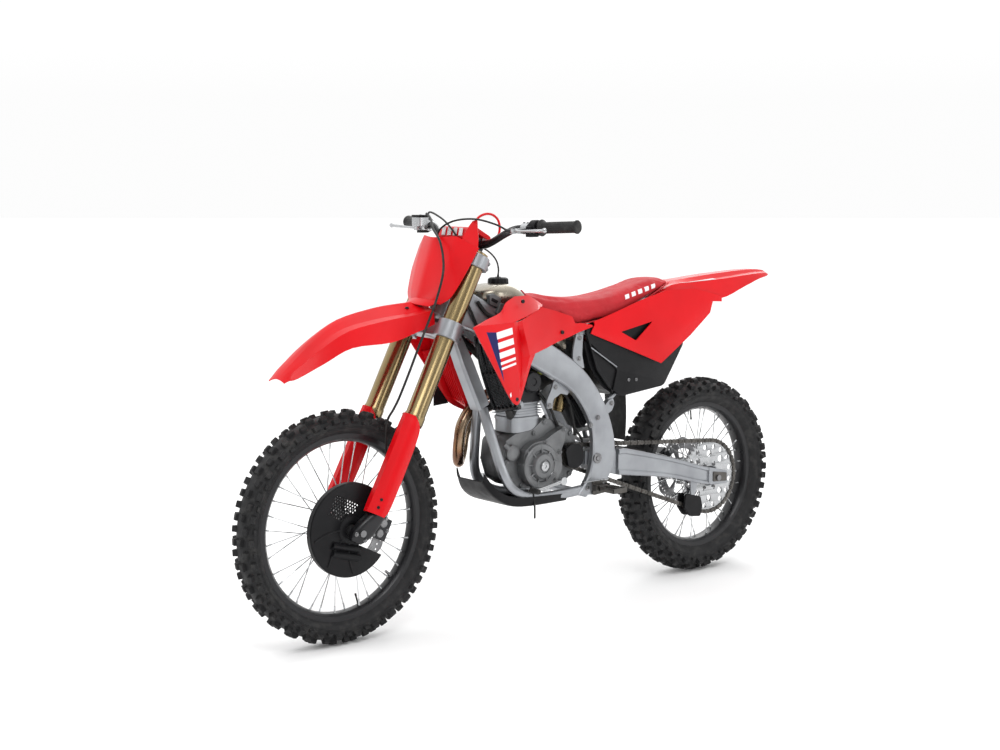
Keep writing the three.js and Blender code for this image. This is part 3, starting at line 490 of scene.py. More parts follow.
def red_paint(name, prints=None):
    """The moulded red plastic of the bodywork, plain or with prints on it."""
    return material(name, RED, 0.34, coat=0.06, tint=(0.58, 0.0015, 0.005), patches=5.0, grain=0.03,
                    grain_scale=260, rough_spread=0.03, specular=0.22, extra=prints)


def seat_paint(name, prints):
    """The gripper cover of the seat."""
    return material(name, (0.54, 0.018, 0.026), 0.66, sheen=0.03, grain=0.4, grain_scale=2600,
                    specular=0.3, extra=prints)


red = red_paint("red_plastic")
black_plastic = material("black_plastic", (0.006, 0.006, 0.007), 0.42, grain=0.3, grain_scale=1500,
                         tint=(0.010, 0.010, 0.011), specular=0.17)
glossy_black = material("glossy_black_plastic", (0.010, 0.010, 0.012), 0.2, coat=0.4, grain=0.05)
rubber = material("black_rubber", (0.010, 0.010, 0.010), 0.6, grain=0.4, grain_scale=1800, extra=dust,
                  specular=0.35)
tread = material("tyre_rubber", (0.011, 0.011, 0.012), 0.66, grain=0.6, grain_scale=900, extra=dust,
                 specular=0.35)
alloy = material("satin_aluminium", (0.36, 0.375, 0.395), 0.4, 0.8, grain=0.2, grain_scale=1300,
                 stretch=(1, 1, 0.2), tint=(0.29, 0.30, 0.32))
cast = material("cast_aluminium", (0.22, 0.225, 0.23), 0.46, 0.75, grain=0.8, grain_scale=1400,
                tint=(0.13, 0.134, 0.138))
polished = material("machined_aluminium", (0.50, 0.51, 0.52), 0.26, 0.95, grain=0.15, grain_scale=1600)
gold = material("gold_anodising", (0.30, 0.225, 0.11), 0.24, 0.95, coat=0.15, tint=(0.25, 0.185, 0.09),
                patches=5.0, grain=0.02, grain_scale=2400, rough_spread=0.03)
chrome = material("hard_chrome", (0.62, 0.63, 0.64), 0.1, 1.0, grain=0.02, rough_spread=0.03)
steel = material("plain_steel", (0.26, 0.26, 0.265), 0.32, 0.95, grain=0.25, grain_scale=1500,
                 tint=(0.17, 0.17, 0.175))
dark_steel = material("oiled_steel", (0.07, 0.066, 0.062), 0.38, 0.9, grain=0.5, grain_scale=1500,
                      tint=(0.14, 0.132, 0.122))
black_metal = material("black_anodising", (0.012, 0.012, 0.014), 0.34, 0.4, coat=0.1, grain=0.12)
titanium = material("bare_titanium", (0.36, 0.33, 0.27), 0.28, 0.95, coat=0.05, tint=(0.30, 0.27, 0.22),
                    grain=0.12)
hot_pipe = material("hot_pipe", (0.24, 0.155, 0.095), 0.24, 0.95, grain=0.08, extra=heat_tint)
# the seat cover's gripper dots carry painted shade between them
seat_cloth = seat_paint("seat_cover", dots_with_painted_shade)
brass = material("yellow_plug", (0.50, 0.56, 0.05), 0.35, 0.2, grain=0.1)
clear_red = material("red_anodising", (0.45, 0.008, 0.015), 0.28, 0.8, coat=0.15)
white_plastic = material("white_plastic", (0.74, 0.74, 0.75), 0.4, grain=0.05, specular=0.3)


# ---------------------------------------------------------------- stage and camera
FLOOR_HALF = 60
FLOOR_WHITE = 0.95
# The backdrop's strength by direction in plan, and what it gains by height.
BACKDROP_TOWARDS = (0.63, 0.77, 0.0)
BACKDROP_PLAN = {"low": 0.34, "high": 0.98, "from_low": -0.35, "from_high": 0.4}
BACKDROP_RISE = {"low": 0.0, "high": 0.75, "from_low": 0.05, "from_high": 0.9}
# Each lamp: name, place in metres, size, power.
LAMPS = (
    ("key", (-2.0, -3.0, 4.6), 2.4, 80),
    ("side", (1.6, -4.8, 1.6), 1.6, 26),
    ("rim", (3.4, 2.6, 3.4), 2.4, 45),
    ("front", (-5.2, 1.4, 2.4), 1.4, 28),
)
LAMP_TARGET = Vector((0, 0, 0.6))


def floor():
    mesh = bpy.data.meshes.new("floor")
    corners = [(x * FLOOR_HALF, y * FLOOR_HALF, 0) for x, y in ((-1, -1), (1, -1), (1, 1), (-1, 1))]
    mesh.from_pydata(corners, [], [(0, 1, 2, 3)])
    paper = bpy.data.materials.new("paper")
    paper.use_nodes = True
    shader = paper.node_tree.nodes["Principled BSDF"]
    shader.inputs["Base Color"].default_value = (FLOOR_WHITE, FLOOR_WHITE, FLOOR_WHITE, 1)
    shader.inputs["Roughness"].default_value = 0.9
    shader.inputs["Specular IOR Level"].default_value = 0.0
    mesh.materials.append(paper)
    ground = bpy.data.objects.new("floor", mesh)
    bpy.context.scene.collection.objects.link(ground)


def backdrop():
    world = bpy.data.worlds.new("studio")
    world.use_nodes = True
    tree = world.node_tree
    background = tree.nodes["Background"]
    towards = node(tree, "ShaderNodeVectorMath", operation="DOT_PRODUCT")
    tree.links.new(node(tree, "ShaderNodeTexCoord").outputs["Generated"], towards.inputs[0])
    towards.inputs[1].default_value = BACKDROP_TOWARDS
    height = node(tree, "ShaderNodeSeparateXYZ")
    tree.links.new(node(tree, "ShaderNodeTexCoord").outputs["Generated"], height.inputs[0])
    level = ranged(tree, towards.outputs["Value"], **BACKDROP_PLAN)
    above = ranged(tree, height.outputs["Z"], **BACKDROP_RISE)
    tree.links.new(math_node(tree, "ADD", level, above), background.inputs["Strength"])
    background.inputs["Color"].default_value = (1, 1, 1, 1)
    bpy.context.scene.world = world


def set_the_stage():
    floor()
    backdrop()
    bpy.context.scene.view_settings.view_transform = "Standard"
    for name, place, size, power in LAMPS:
        lamp = bpy.data.lights.new(name, "AREA")
        lamp.shape = "SQUARE"
        lamp.size = size
        lamp.energy = power
        holder = bpy.data.objects.new(name, lamp)
        holder.location = place
        holder.rotation_euler = (LAMP_TARGET - Vector(place)).to_track_quat("-Z", "Y").to_euler()
        bpy.context.scene.collection.objects.link(holder)


def set_the_camera():
    camera = bpy.data.cameras.new("camera")
    camera.sensor_width = 36
    camera.lens = 58.93
    camera.clip_end = 60
    holder = bpy.data.objects.new("camera", camera)
    holder.location = (-3.3406, -3.9302, 1.347)
    holder.rotation_euler = Vector((0.6289, 0.7687, -0.1174)).to_track_quat("-Z", "Y").to_euler()
    bpy.context.scene.collection.objects.link(holder)
    bpy.context.scene.camera = holder


set_the_stage()
set_the_camera()


# ---------------------------------------------------------------- tyres
def crown(size, share):
    """A point of the carcass and its outward direction, from one bead (-1) to the other (+1)."""
    angle = share * math.radians(118)
    height = size["radius"] - size["knob"] - size["bead"] - 4
    middle = size["radius"] - size["knob"] - height * 0.5
    reach = size["half"] - 2.5
    r = middle + height * 0.5 * math.cos(angle) * (1 if abs(angle) < math.pi / 2 else 1.02)
    y = reach * math.sin(angle)
    out = Vector((math.cos(angle) / (height * 0.5), math.sin(angle) / reach)).normalized()
    return r, y, out


def carcass(size, centre):
    outside = []
    for k in range(41):
        r, y, _ = crown(size, k / 20 - 1)
        outside.append((r, y))
    lip = size["rim_half"] - 1.5
    outside = [(size["bead"] + 6, -lip)] + outside + [(size["bead"] + 6, lip)]
    inside = [(size["bead"] + 6, lip - 7), (size["radius"] - size["knob"] - 22, size["half"] * 0.66),
              (size["radius"] - size["knob"] - 9, 0),
              (size["radius"] - size["knob"] - 22, -size["half"] * 0.66), (size["bead"] + 6, 7 - lip)]
    return lathe(outside + inside, centre, 96)


def knob(size, centre, turn, share, length, width, height, skew=0.0):
    """One tread block: a tapered, chamfered block standing on the carcass."""
    r, y, out = crown(size, share)
    radial = Vector((math.cos(turn), 0, math.sin(turn)))
    around = Vector((-math.sin(turn), 0, math.cos(turn)))
    up = radial * out.x + Vector((0, out.y, 0))
    over = up.cross(around)
    foot = centre + radial * r + Vector((0, y, 0))
    around, over = around + over * skew, over - around * skew
    rings = []
    for rise, swell in ((-2.5, 1.12), (height * 0.25, 1.0), (height - 1.3, 0.93), (height, 0.8)):
        at = foot + up * rise
        rings.append([
            at + around * (length / 2 * swell * a) + over * (width / 2 * swell * b)
            for a, b in ((-1, -1), (1, -1), (1, 1), (-1, 1))
        ])
    return between_rings(rings)


def tyre(name, body, centre, size, rows, pitches):
    knobs = []
    for k in range(pitches):
        for offset, share, length, width, height, skew in rows:
            turn = TAU * (k + offset) / pitches
            for side in ((-1, 1) if share else (1,)):
                knobs.append(knob(size, centre, turn, side * share, length, width, height, side * skew))
    ribs = []
    for side in (-1, 1):
        for share in (0.80, 0.86):
            r, y, _ = crown(size, side * share)
            ribs.append(lathe([(r - 1.2, y), (r, y + side * 1.1), (r + 1.2, y)], centre, 96))
    piece(name, merge(carcass(size, centre), *ribs), tread, body, replaces=name, slot="tyre_rubber")
    piece(name + "_knobs", merge(*knobs), tread, body, slot="tyre_rubber", sharp=30)


FRONT_SIZE = {"radius": 346.5, "half": 44, "bead": 267, "rim_half": 20.5, "knob": 13}
REAR_SIZE = {"radius": 337.5, "half": 55, "bead": 241.5, "rim_half": 27.5, "knob": 14}
# Each row: offset along the pitch, place across the tread, length, width, height, skew.
FRONT_ROWS = (
    (0.0, 0.14, 21, 15, 12.6, 0.0),
    (0.5, 0.33, 19, 15, 12.8, 0.12),
    (0.0, 0.55, 22, 14, 13.0, 0.0),
    (0.5, 0.66, 15, 8, 9.0, 0.0),
)
REAR_ROWS = (
    (0.0, 0.13, 22, 19, 13.6, 0.0),
    (0.5, 0.0, 15, 22, 13.4, 0.0),
    (0.5, 0.36, 22, 19, 13.8, 0.1),
    (0.0, 0.56, 23, 15, 14.0, 0.0),
    (0.5, 0.67, 15, 9, 9.0, 0.0),
)


# ---------------------------------------------------------------- wheels
def rim(name, body, centre, size):
    bead, half = size["bead"], size["rim_half"]
    side = [(bead + 12.5, -half - 3.3), (bead + 13, -half - 1.6), (bead + 12.5, -half),
            (bead + 4, -half + 1.2), (bead + 2, -half + 7), (bead - 7, -half * 0.45)]
    back = [(bead - 14.5, -half * 0.45), (bead - 12, -half * 0.75), (bead - 4, -half - 2.5),
            (bead + 5, -half - 3.3)]
    profile = side + [(r, -y) for r, y in reversed(side)] + [(r, -y) for r, y in reversed(back)] + back
    piece(name, lathe(profile, centre, 96), black_metal, body, replaces=name, slot="black_alloy", sharp=25)


def spokes(size, centre, flange, hub, count=36):
    wires, nipples = [], []
    for i in range(count):
        side = 1 if i % 2 else -1
        crossing = 1 if i % 4 < 2 else -1
        end = TAU * (i + 0.5) / count
        start = end + crossing * 0.95
        y = side * (hub - 5.5 - crossing * 4.5)
        head = centre + Vector(((flange - 3) * math.cos(start), y, (flange - 3) * math.sin(start)))
        seat = size["bead"] - 15.5
        foot = centre + Vector((seat * math.cos(end), side * size["rim_half"] * 0.3, seat * math.sin(end)))
        wires.append(rod(head, foot, 1.7, 8))
        along = (head - foot).normalized()
        nipples.append(stepped_rod(foot - along * 3, along, [(0, 3.6), (6, 3.2), (7, 2.6), (22, 2.5)], 8))
    return merge(*wires), merge(*nipples)


def hub_shell(centre, flange, hub, left, right, boss):
    """The hub's barrel, its two spoke flanges and the faces that carry disc and sprocket."""
    profile = [
        (11, left), (boss, left), (boss + 2, left + 2), (boss + 2, -hub - 3), (flange, -hub),
        (flange, -hub + 10),
        (flange - 4, -hub + 12), (24, -hub + 20), (20, -6), (20, 6), (24, hub - 20), (flange - 4, hub - 12),
        (flange, hub - 10), (flange, hub), (boss + 2, hub + 3), (boss + 2, right - 2), (boss, right),
        (11, right),
    ]
    return lathe(profile, centre, 64)


def wheel_trim(name, body, centre, size, valve_turn):
    """The valve and the rim lock, which stand inwards from the rim."""
    for part, turn, sizes, paint in (
        ("valve", valve_turn, [(0, 4), (4, 4), (5, 2.6), (30, 2.6), (31, 3.4), (38, 3.2)], black_metal),
        ("rim_lock", valve_turn + 0.55, [(0, 7), (6, 7), (6.5, 5.4), (13, 5.4), (13.5, 4), (26, 4)], steel),
    ):
        radial = Vector((math.cos(turn), 0, math.sin(turn)))
        foot = centre + radial * (size["bead"] - 13)
        piece(f"{name}_{part}", stepped_rod(foot, -radial, sizes, 16), paint, body)


def brake_disc(name, body, centre, radius, bore, y0, y1, arms):
    middle = (centre.x, centre.z)
    outlines = [ring_outline(middle, radius - 3, 144, 3, 12)]
    for k in range(arms):
        for share in (0.0, 0.33, 0.66):
            turn = TAU * (k + share) / arms
            r = radius - 11 - 11 * share
            at = (middle[0] + r * math.cos(turn), middle[1] + r * math.sin(turn))
            outlines.append(ring_outline(at, 3.6, 12))
    window = 24
    inner = radius - 40
    for k in range(6):
        start = TAU * k / 6
        turns = [start + TAU / 6 * 0.74 * i / window for i in range(window + 1)]
        near = [(middle[0] + (bore + 16) * math.cos(t), middle[1] + (bore + 16) * math.sin(t))
                for t in turns]
        far = [(middle[0] + inner * math.cos(t), middle[1] + inner * math.sin(t)) for t in turns]
        outlines.append(rounded(near[::6] + far[::-4], 6, 2))
    outlines.append(ring_outline(middle, bore, 40))
    piece(name, pierced(outlines, y0, y1), steel, body, replaces=name, slot="steel")


def sprocket_outline(centre, teeth, turn=0.0):
    pitch_radius = CHAIN["pitch"] / 2 / math.sin(math.pi / teeth)
    outline = []
    for i in range(teeth):
        for share, rise in ((-0.34, -4.6), (-0.2, -1.5), (-0.07, 4.6), (0.07, 4.6), (0.2, -1.5),
                            (0.34, -4.6)):
            angle = turn + TAU * (i + share) / teeth
            r = pitch_radius + rise
            outline.append((centre.x + r * math.cos(angle), centre.z + r * math.sin(angle)))
    return outline


def sprocket(name, body, centre, teeth, bore, paint, windows=()):
    middle = (centre.x, centre.z)
    outlines = [sprocket_outline(centre, teeth)]
    for count, ring, size in windows:
        for k in range(count):
            turn = TAU * (k + 0.5 * (ring % 2)) / count
            at = (middle[0] + ring * math.cos(turn), middle[1] + ring * math.sin(turn))
            outlines.append(ring_outline(at, size, 18))
    outlines.append(ring_outline(middle, bore, 40))
    piece(name, pierced(outlines, CHAIN["y"] - 3, CHAIN["y"] + 3), paint, body, replaces=name, slot="steel")


def axle(name, body, centre, half, outer, left, right):
    shape = stepped_rod(centre + Vector((0, -half, 0)), (0, 1, 0), [
        (0, 8), (0, 10), (half - outer, 10), (half - outer, 17),
        (half + left - 0.4, 17), (half + left - 0.4, 10),
        (half + right + 0.4, 10), (half + right + 0.4, 17),
        (half + outer, 17), (half + outer, 10), (2 * half, 10)], 32)
    nut = bolt(centre + Vector((0, half, 0)), (0, 1, 0), 15.5, 9, washer=False)
    piece(name, merge(shape, nut), steel, body, replaces=name, slot="steel")


def wheel(end, body, centre, size, rows, pitches, hub, faces, valve_turn):
    left, right = faces
    flange = hub + 4
    tyre(f"{end}_tyre", body, centre, size, rows, pitches)
    rim(f"{end}_rim", body, centre, size)
    wires, nipples = spokes(size, centre, flange, hub)
    piece(f"{end}_spokes", wires, chrome, body)
    piece(f"{end}_nipples", nipples, polished, body)
    shell = hub_shell(centre, flange, hub, left, right, flange)
    piece(f"{end}_hub", shell, black_metal if end == "front" else cast, body, replaces=f"{end}_hub",
          slot="cast_alloy")
    wheel_trim(end, body, centre, size, valve_turn)


def build_wheels():
    wheel("front", "front_wheel", FRONT_AXLE, FRONT_SIZE, FRONT_ROWS, 30, 34, (-53.2, 44),
          math.radians(285))
    wheel("rear", "rear_wheel", REAR_AXLE, REAR_SIZE, REAR_ROWS, 27, 38, (-66.7, 57.7), math.radians(95))
    brake_disc("front_disc", "front_wheel", FRONT_AXLE, 130, 32, -56.5, -53.5, 16)
    brake_disc("rear_disc", "rear_wheel", REAR_AXLE, 120, 32, 58, 62, 16)
    sprocket("rear_sprocket", "rear_wheel", REAR_AXLE, CHAIN["wheel"], 34, polished,
             ((16, 103, 9.5), (8, 78, 12), (6, 52, 4)))
    sprocket("drive_sprocket", "countershaft", COUNTERSHAFT, CHAIN["drive"], 12.8, dark_steel)
    for k in range(6):
        turn = TAU * k / 6
        at = REAR_AXLE + Vector((44 * math.cos(turn), CHAIN["y"] - 3, 44 * math.sin(turn)))
        piece(f"sprocket_bolt_{k + 1}", socket_screw(at, (0, -1, 0), 5, 5), steel, "rear_wheel")
        at = FRONT_AXLE + Vector((38 * math.cos(turn), -56.5, 38 * math.sin(turn)))
        piece(f"disc_bolt_{k + 1}", socket_screw(at, (0, -1, 0), 4.5, 3), steel, "front_wheel")
    axle("front_axle", "fork_lower", FRONT_AXLE, 129, 79.5, -53.2, 44)
    axle("rear_axle", "rear_arm", REAR_AXLE, 122, 87.5, -66.7, 57.7)


build_wheels()


# ---------------------------------------------------------------- bodywork
def carved(made, *cutters):
    """Cuts closed shapes out of a finished piece."""
    for k, cutter in enumerate(cutters):
        tool = piece(f"{made.name}_cutter_{k}", cutter, black_plastic, None)
        difference = made.modifiers.new("cut", "BOOLEAN")
        difference.object = tool
        difference.solver = "EXACT"
        cut = evaluated_mesh(made)
        made.modifiers.clear()
        made.data = cut
        bpy.data.objects.remove(tool)
    return made


def pair(name, shape, paint, body="chassis", replaced=None, **options):
    """The same shape on the left and, mirrored, on the right."""
    made = []
    for side, form in (("left", shape), ("right", mirrored(shape))):
        old = f"{replaced}_{side}" if replaced else ()
        made.append(piece(f"{name}_{side}", form, paint, body, replaces=old, **options))
    return made


def across(x, stations):
    """A row from the left edge over the middle to the right edge; stations are (y, z) on the right."""
    right = [Vector((x, y, z)) for y, z in stations]
    return [Vector((p.x, -p.y, p.z)) for p in reversed(right[1:])] + right


SHROUD_FACET = (
    ((-380, -190, 924), (-316, -170, 941), (-247, -150, 958), (-213, -134, 984), (-162, -114, 1000),
     (-86, -92, 1000),
     (-36, -98, 969)),
    ((-383, -192, 922), (-361, -191, 927), (-287, -185, 927), (-251, -180, 928), (-214, -175, 928),
     (-139, -154, 944),
     (-67, -134, 964)),
)
SHROUD_WING_TOP = (
    ((-383, -192, 922), (-361, -191, 927), (-287, -185, 927), (-214, -175, 928), (-192, -167, 927),
     (-174, -165, 931)),
    ((-363, -191, 892), (-346, -190, 887), (-278, -183, 888), (-207, -174, 891), (-170, -149, 889),
     (-162, -163, 891)),
    ((-343, -189, 863), (-328, -188, 857), (-265, -182, 854), (-200, -173, 853), (-158, -142, 849),
     (-145, -158, 850)),
    ((-323, -188, 833), (-308, -186, 826), (-253, -180, 823), (-199, -173, 821), (-155, -144, 816),
     (-134, -155, 819)),
)
SHROUD_WING_LOW = (
    ((-323, -188, 833), (-308, -186, 826), (-253, -180, 823), (-199, -173, 821), (-155, -144, 816),
     (-134, -155, 819),
     (-103, -143, 822)),
    ((-294, -185, 791), (-281, -184, 784), (-237, -178, 783), (-190, -170, 782), (-162, -151, 778),
     (-151, -159, 779),
     (-128, -151, 788)),
    ((-265, -182, 749), (-255, -180, 743), (-219, -175, 742), (-182, -168, 742), (-173, -160, 741),
     (-169, -164, 741),
     (-151, -158, 745)),
    ((-235, -178, 706), (-228, -177, 704), (-209, -174, 704), (-192, -170, 703), (-184, -168, 704),
     (-178, -166, 706),
     (-168, -163, 712)),
    ((-216, -175, 686), (-211, -174, 682), (-205, -174, 678), (-199, -173, 677), (-193, -171, 678),
     (-188, -169, 681),
     (-182, -167, 688)),
)
SHROUD_PANEL = (
    ((-174, -165, 931), (-119, -148, 947), (-67, -134, 964), (3, -118, 948), (78, -110, 926),
     (94, -107, 903),
     (118, -106, 904), (171, -103, 894)),
    ((-162, -163, 891), (-102, -145, 905), (-56, -133, 925), (8, -119, 916), (67, -111, 905),
     (92, -107, 898),
     (115, -106, 896), (171, -103, 892)),
    ((-145, -158, 850), (-93, -143, 864), (-49, -132, 879), (6, -119, 881), (62, -111, 883),
     (90, -107, 885),
     (113, -106, 885), (171, -103, 890)),
    ((-134, -155, 819), (-88, -139, 827), (-45, -129, 836), (4, -118, 849), (57, -112, 861),
     (88, -107, 868),
     (111, -106, 875), (171, -103, 888)),
)
SIDE_PANEL = (
    ((178, -103, 905), (272, -102, 930), (382, -100, 962), (506, -95, 990), (644, -91, 990),
     (734, -90, 970),
     (781, -89, 958)),
    ((177, -106, 893), (290, -108, 890), (420, -110, 898), (548, -102, 925), (668, -95, 945),
     (734, -91, 957),
     (781, -89, 952)),
    ((168, -107, 880), (300, -113, 848), (446, -117, 822), (588, -106, 875), (700, -95, 922),
     (732, -92, 950),
     (781, -89, 946)),
    ((161, -107, 867), (305, -114, 813), (464, -119, 753), (615, -104, 836), (719, -94, 905),
     (734, -92, 943),
     (781, -89, 940)),
)
PANEL_VENT = ((288, 866), (432, 893), (352, 834))
MIDLINE = (0, 2000, 850)


def outward(tree, place):
    """1 on faces that look away from the machine's middle plane, so that prints show on one side."""
    normal = node(tree, "ShaderNodeSeparateXYZ")
    tree.links.new(node(tree, "ShaderNodeNewGeometry").outputs["Normal"], normal.inputs[0])
    split = node(tree, "ShaderNodeSeparateXYZ")
    tree.links.new(place, split.inputs[0])
    return math_node(tree, "GREATER_THAN", math_node(tree, "MULTIPLY", normal.outputs["Y"],
                                                     split.outputs["Y"]), 0.0)


def decals(*shapes):
    """Flat printed areas: each is a colour and a convex polygon of the side view."""

    def paint(tree, place, base):
        facing = outward(tree, place)
        for colour, corners in shapes:
            mask = math_node(tree, "MULTIPLY", polygon_mask(tree, place, corners), facing)
            base = mixed(tree, mask, base, colour)
        return base

    return paint


def stripes(low_left, low_right, high_left, high_right, spans):
    """Bars between two slanting lines, each over a span of their length from the top."""
    shapes = []
    for start, end in spans:
        corners = []
        for share, (top, bottom) in ((start, (high_left, low_left)), (start, (high_right, low_right)),
                                     (end, (high_right, low_right)), (end, (high_left, low_left))):
            corners.append(tuple(Vector(top).lerp(Vector(bottom), share)))
        shapes.append((WHITE, corners))
    return shapes


BAR_SPANS = ((0.0, 0.15), (0.23, 0.37), (0.45, 0.58), (0.66, 0.72), (0.78, 0.83))
shroud_red = red_paint("red_plastic_with_prints", decals(
    (NAVY, ((-331, 906), (-288, 903), (-260, 768), (-257, 752))),
    *stripes((-262, 765), (-199, 777), (-290, 902), (-222, 913), BAR_SPANS),
    (WHITE, ((-232, 712), (-226, 718), (-224, 706), (-229, 702))),
))
tail_red = red_paint("red_tail_plastic")


def shrouds():
    creased = {"thickness": 3.2, "inside": MIDLINE, "steps": 3}
    shape = merge(
        panel(SHROUD_FACET, sharp_columns=(1, 4, 5), **creased),
        panel(SHROUD_WING_TOP, sharp_columns=(1, 3, 4, 5), **creased),
        panel(SHROUD_WING_LOW, sharp_columns=(1, 3, 4, 5), **creased),
        panel(SHROUD_PANEL, sharp_columns=(2, 4, 5, 6), **creased),
    )
    pair("shroud", shape, shroud_red, replaced="shroud", slot="red_plastic", weld=0, sharp=12)
    screws = []
    for x, y, z in ((-200, -172, 694), (-150, -140, 986), (30, -118, 880)):
        screws.append(socket_screw((x, y, z), (0, -1, 0), 6, 3))
    pair("shroud_screws", merge(*screws), black_metal)


def side_panels():
    shape = panel(SIDE_PANEL, 3.2, MIDLINE, steps=5, sharp_columns=(2, 3, 4, 5))
    made = pair("side_panel", shape, red, replaced="side_panel", slot="red_plastic", sharp=40)
    vent = prism(rounded(PANEL_VENT, 6), -140, -80)
    carved(made[0], vent)
    carved(made[1], mirrored(vent), rod((320, 145, 708), (790, 158, 817), 63, 48))
    rim = [(p[0], p[1]) for p in rounded(PANEL_VENT, 6)]
    middle = sum((Vector(p) for p in rim), Vector((0, 0))) / len(rim)
    lip = [tuple(middle + (Vector(p) - middle) * 1.09) for p in rim]
    pair("panel_vent_screen", prism(lip, -98, -96), black_plastic)
    for cover in made:
        for polygon in cover.data.polygons:
            polygon.use_smooth = True
        cover.data.set_sharp_from_angle(angle=math.radians(40))


def fender_rows(sections):
    return [across(x, stations) for x, stations in sections]


def front_fender():
    sections = (
        (-938, ((0, 797), (10, 796), (22, 794), (32, 791), (40, 788))),
        (-925, ((0, 814), (14, 813), (28, 809), (38, 803), (48, 795))),
        (-900, ((0, 839), (18, 837), (34, 829), (44, 822), (56, 800))),
        (-820, ((0, 903), (16, 899), (38, 886), (56, 878), (72, 838))),
        (-730, ((0, 953), (14, 947), (38, 931), (64, 924), (78, 876))),
        (-600, ((0, 981), (14, 973), (42, 954), (70, 948), (84, 884))),
        (-500, ((0, 990), (14, 982), (44, 962), (66, 958), (70, 906))),
        (-425, ((0, 994), (14, 988), (38, 972), (56, 968), (62, 926))),
    )
    shape = panel(fender_rows(sections), 3.0, (-700, 0, -3000), steps=4, sharp_columns=(1, 2, 3, 5, 6, 7))
    piece("front_fender", shape, red, "steering", replaces="front_fender", slot="red_plastic", sharp=14)
    screws = [bolt((x, y, z), (0, 0, 1), 5, 4)
              for x, y, z in ((-500, 24, 976), (-500, -24, 976), (-452, 24, 980), (-452, -24, 980))]
    piece("fender_bolts", merge(*screws), black_metal, "steering")


def rear_fender():
    sections = (
        (500, ((0, 980), (20, 980), (40, 976), (58, 974), (72, 962))),
        (560, ((0, 1010), (24, 1010), (44, 1004), (66, 1004), (80, 984))),
        (660, ((0, 1018), (26, 1020), (46, 1008), (66, 1010), (78, 980))),
        (781, ((0, 1026), (26, 1030), (42, 1016), (62, 1014), (80, 950))),
        (923, ((0, 1034), (24, 1038), (36, 1026), (52, 1022), (64, 985))),
        (1010, ((0, 1037), (20, 1040), (28, 1031), (42, 1026), (52, 1008))),
        (1060, ((0, 1034), (16, 1036), (22, 1030), (34, 1026), (42, 1016))),
        (1079, ((0, 1031), (10, 1032), (16, 1028), (24, 1025), (32, 1021))),
    )
    shape = panel(fender_rows(sections), 3.0, (700, 0, -3000), steps=4, sharp_columns=(1, 2, 3, 5, 6, 7))
    piece("rear_fender", shape, tail_red, "chassis", replaces="rear_fender", slot="red_plastic", sharp=14)
    strip = (
        (612, ((50, 1009), (64, 1009))),
        (660, ((48, 1008.5), (65, 1010))),
        (781, ((44, 1016), (61, 1014.5))),
    )
    rows = [[Vector((x, y, z + 1.2)) for y, z in ends] for x, ends in strip]
    flash = panel(rows, 0.8, (700, 0, -3000), steps=3)
    for name, shape in (("tail_flash_left", mirrored(flash)), ("tail_flash_right", flash)):
        piece(name, shape, white_plastic, "chassis")


# In the fork's frame: the middle, the crease and the rim of each level, from the top down.
PLATE_LEVELS = (
    ((-124, 0, 1264), (-104, 80, 1279), (-61, 147, 1263)),
    ((-118, 0, 1222), (-100, 78, 1226), (-62, 142, 1224)),
    ((-112, 0, 1178), (-94, 74, 1178), (-63, 134, 1178)),
    ((-102, 0, 1115), (-86, 66, 1115), (-62, 115, 1115)),
    ((-98, 0, 1084), (-83, 56, 1085), (-62, 99, 1090)),
    ((-95, 0, 1070), (-81, 46, 1070), (-64, 76, 1074)),
)
PLATE_HORN = (
    ((-92, -92, 1256), (-77, -120, 1254), (-60.5, -145.5, 1254)),
    ((-87, -90, 1290), (-75, -112, 1292), (-64, -133, 1290)),
    ((-82, -89, 1322), (-76, -102, 1326), (-69, -116, 1324)),
    ((-78, -92, 1342), (-75, -99, 1346), (-72, -106, 1345)),
)


def number_plate():
    rows = []
    for centre, crease, rim in PLATE_LEVELS:
        soft = ((centre[0] * 2 + crease[0]) / 3, crease[1] * 0.45, (centre[2] * 2 + crease[2]) / 3)
        half = (soft, crease, rim)
        rows.append([(x, -y, s) for x, y, s in reversed(half)] + [centre] + list(half))
    face = panel(rows, 3.2, (60, 0, 1160), steps=5, sharp_columns=(1, 5))
    horn = panel(PLATE_HORN, 3.2, (60, 0, 1160), steps=4)
    strap = tube([(-73.5, -99, 1338), (-66, -99, 1362), (-45, -99, 1382), (-20, -99, 1390),
                  (5, -99, 1384), (21, -99, 1364), (25, -99, 1338), (23, -99, 1316)], 3.8, 10)
    piece("number_plate", in_fork(merge(face, horn, strap)), red, "steering", replaces="number_plate",
          slot="red_plastic", sharp=22)
    chin = [[(-72, -74, 1080), (-88, -40, 1078), (-96, 0, 1078), (-88, 40, 1078), (-72, 74, 1080)],
            [(-88, -58, 1056), (-108, -32, 1052), (-116, 0, 1052), (-108, 32, 1052), (-88, 58, 1056)]]
    piece("plate_skirt", in_fork(panel(chin, 3.0, (60, 0, 1060), steps=3)), red, "steering")
    pad = in_fork(prism(rounded([(-64, 1292), (-60, 1330), (-40, 1340), (22, 1338), (28, 1324),
                                 (-38, 1322), (-46, 1290)], 8), -72, 72))
    piece("bar_pad", pad, red, "steering", bevel=3)
    marks = []
    for k in range(4):
        y = -50 + 28 * k
        blade = [(-64.6, y + 9 * t, 1299 + 26 * t) for t in (0, 1)]
        marks.append(between_rings([[Vector((x - d, y + w, s))
                                     for d, w in ((0, 0), (0, 17), (1, 17), (1, 0))]
                                    for x, y, s in blade]))
    piece("bar_pad_marks", in_fork(merge(*marks)), white_plastic, "steering")


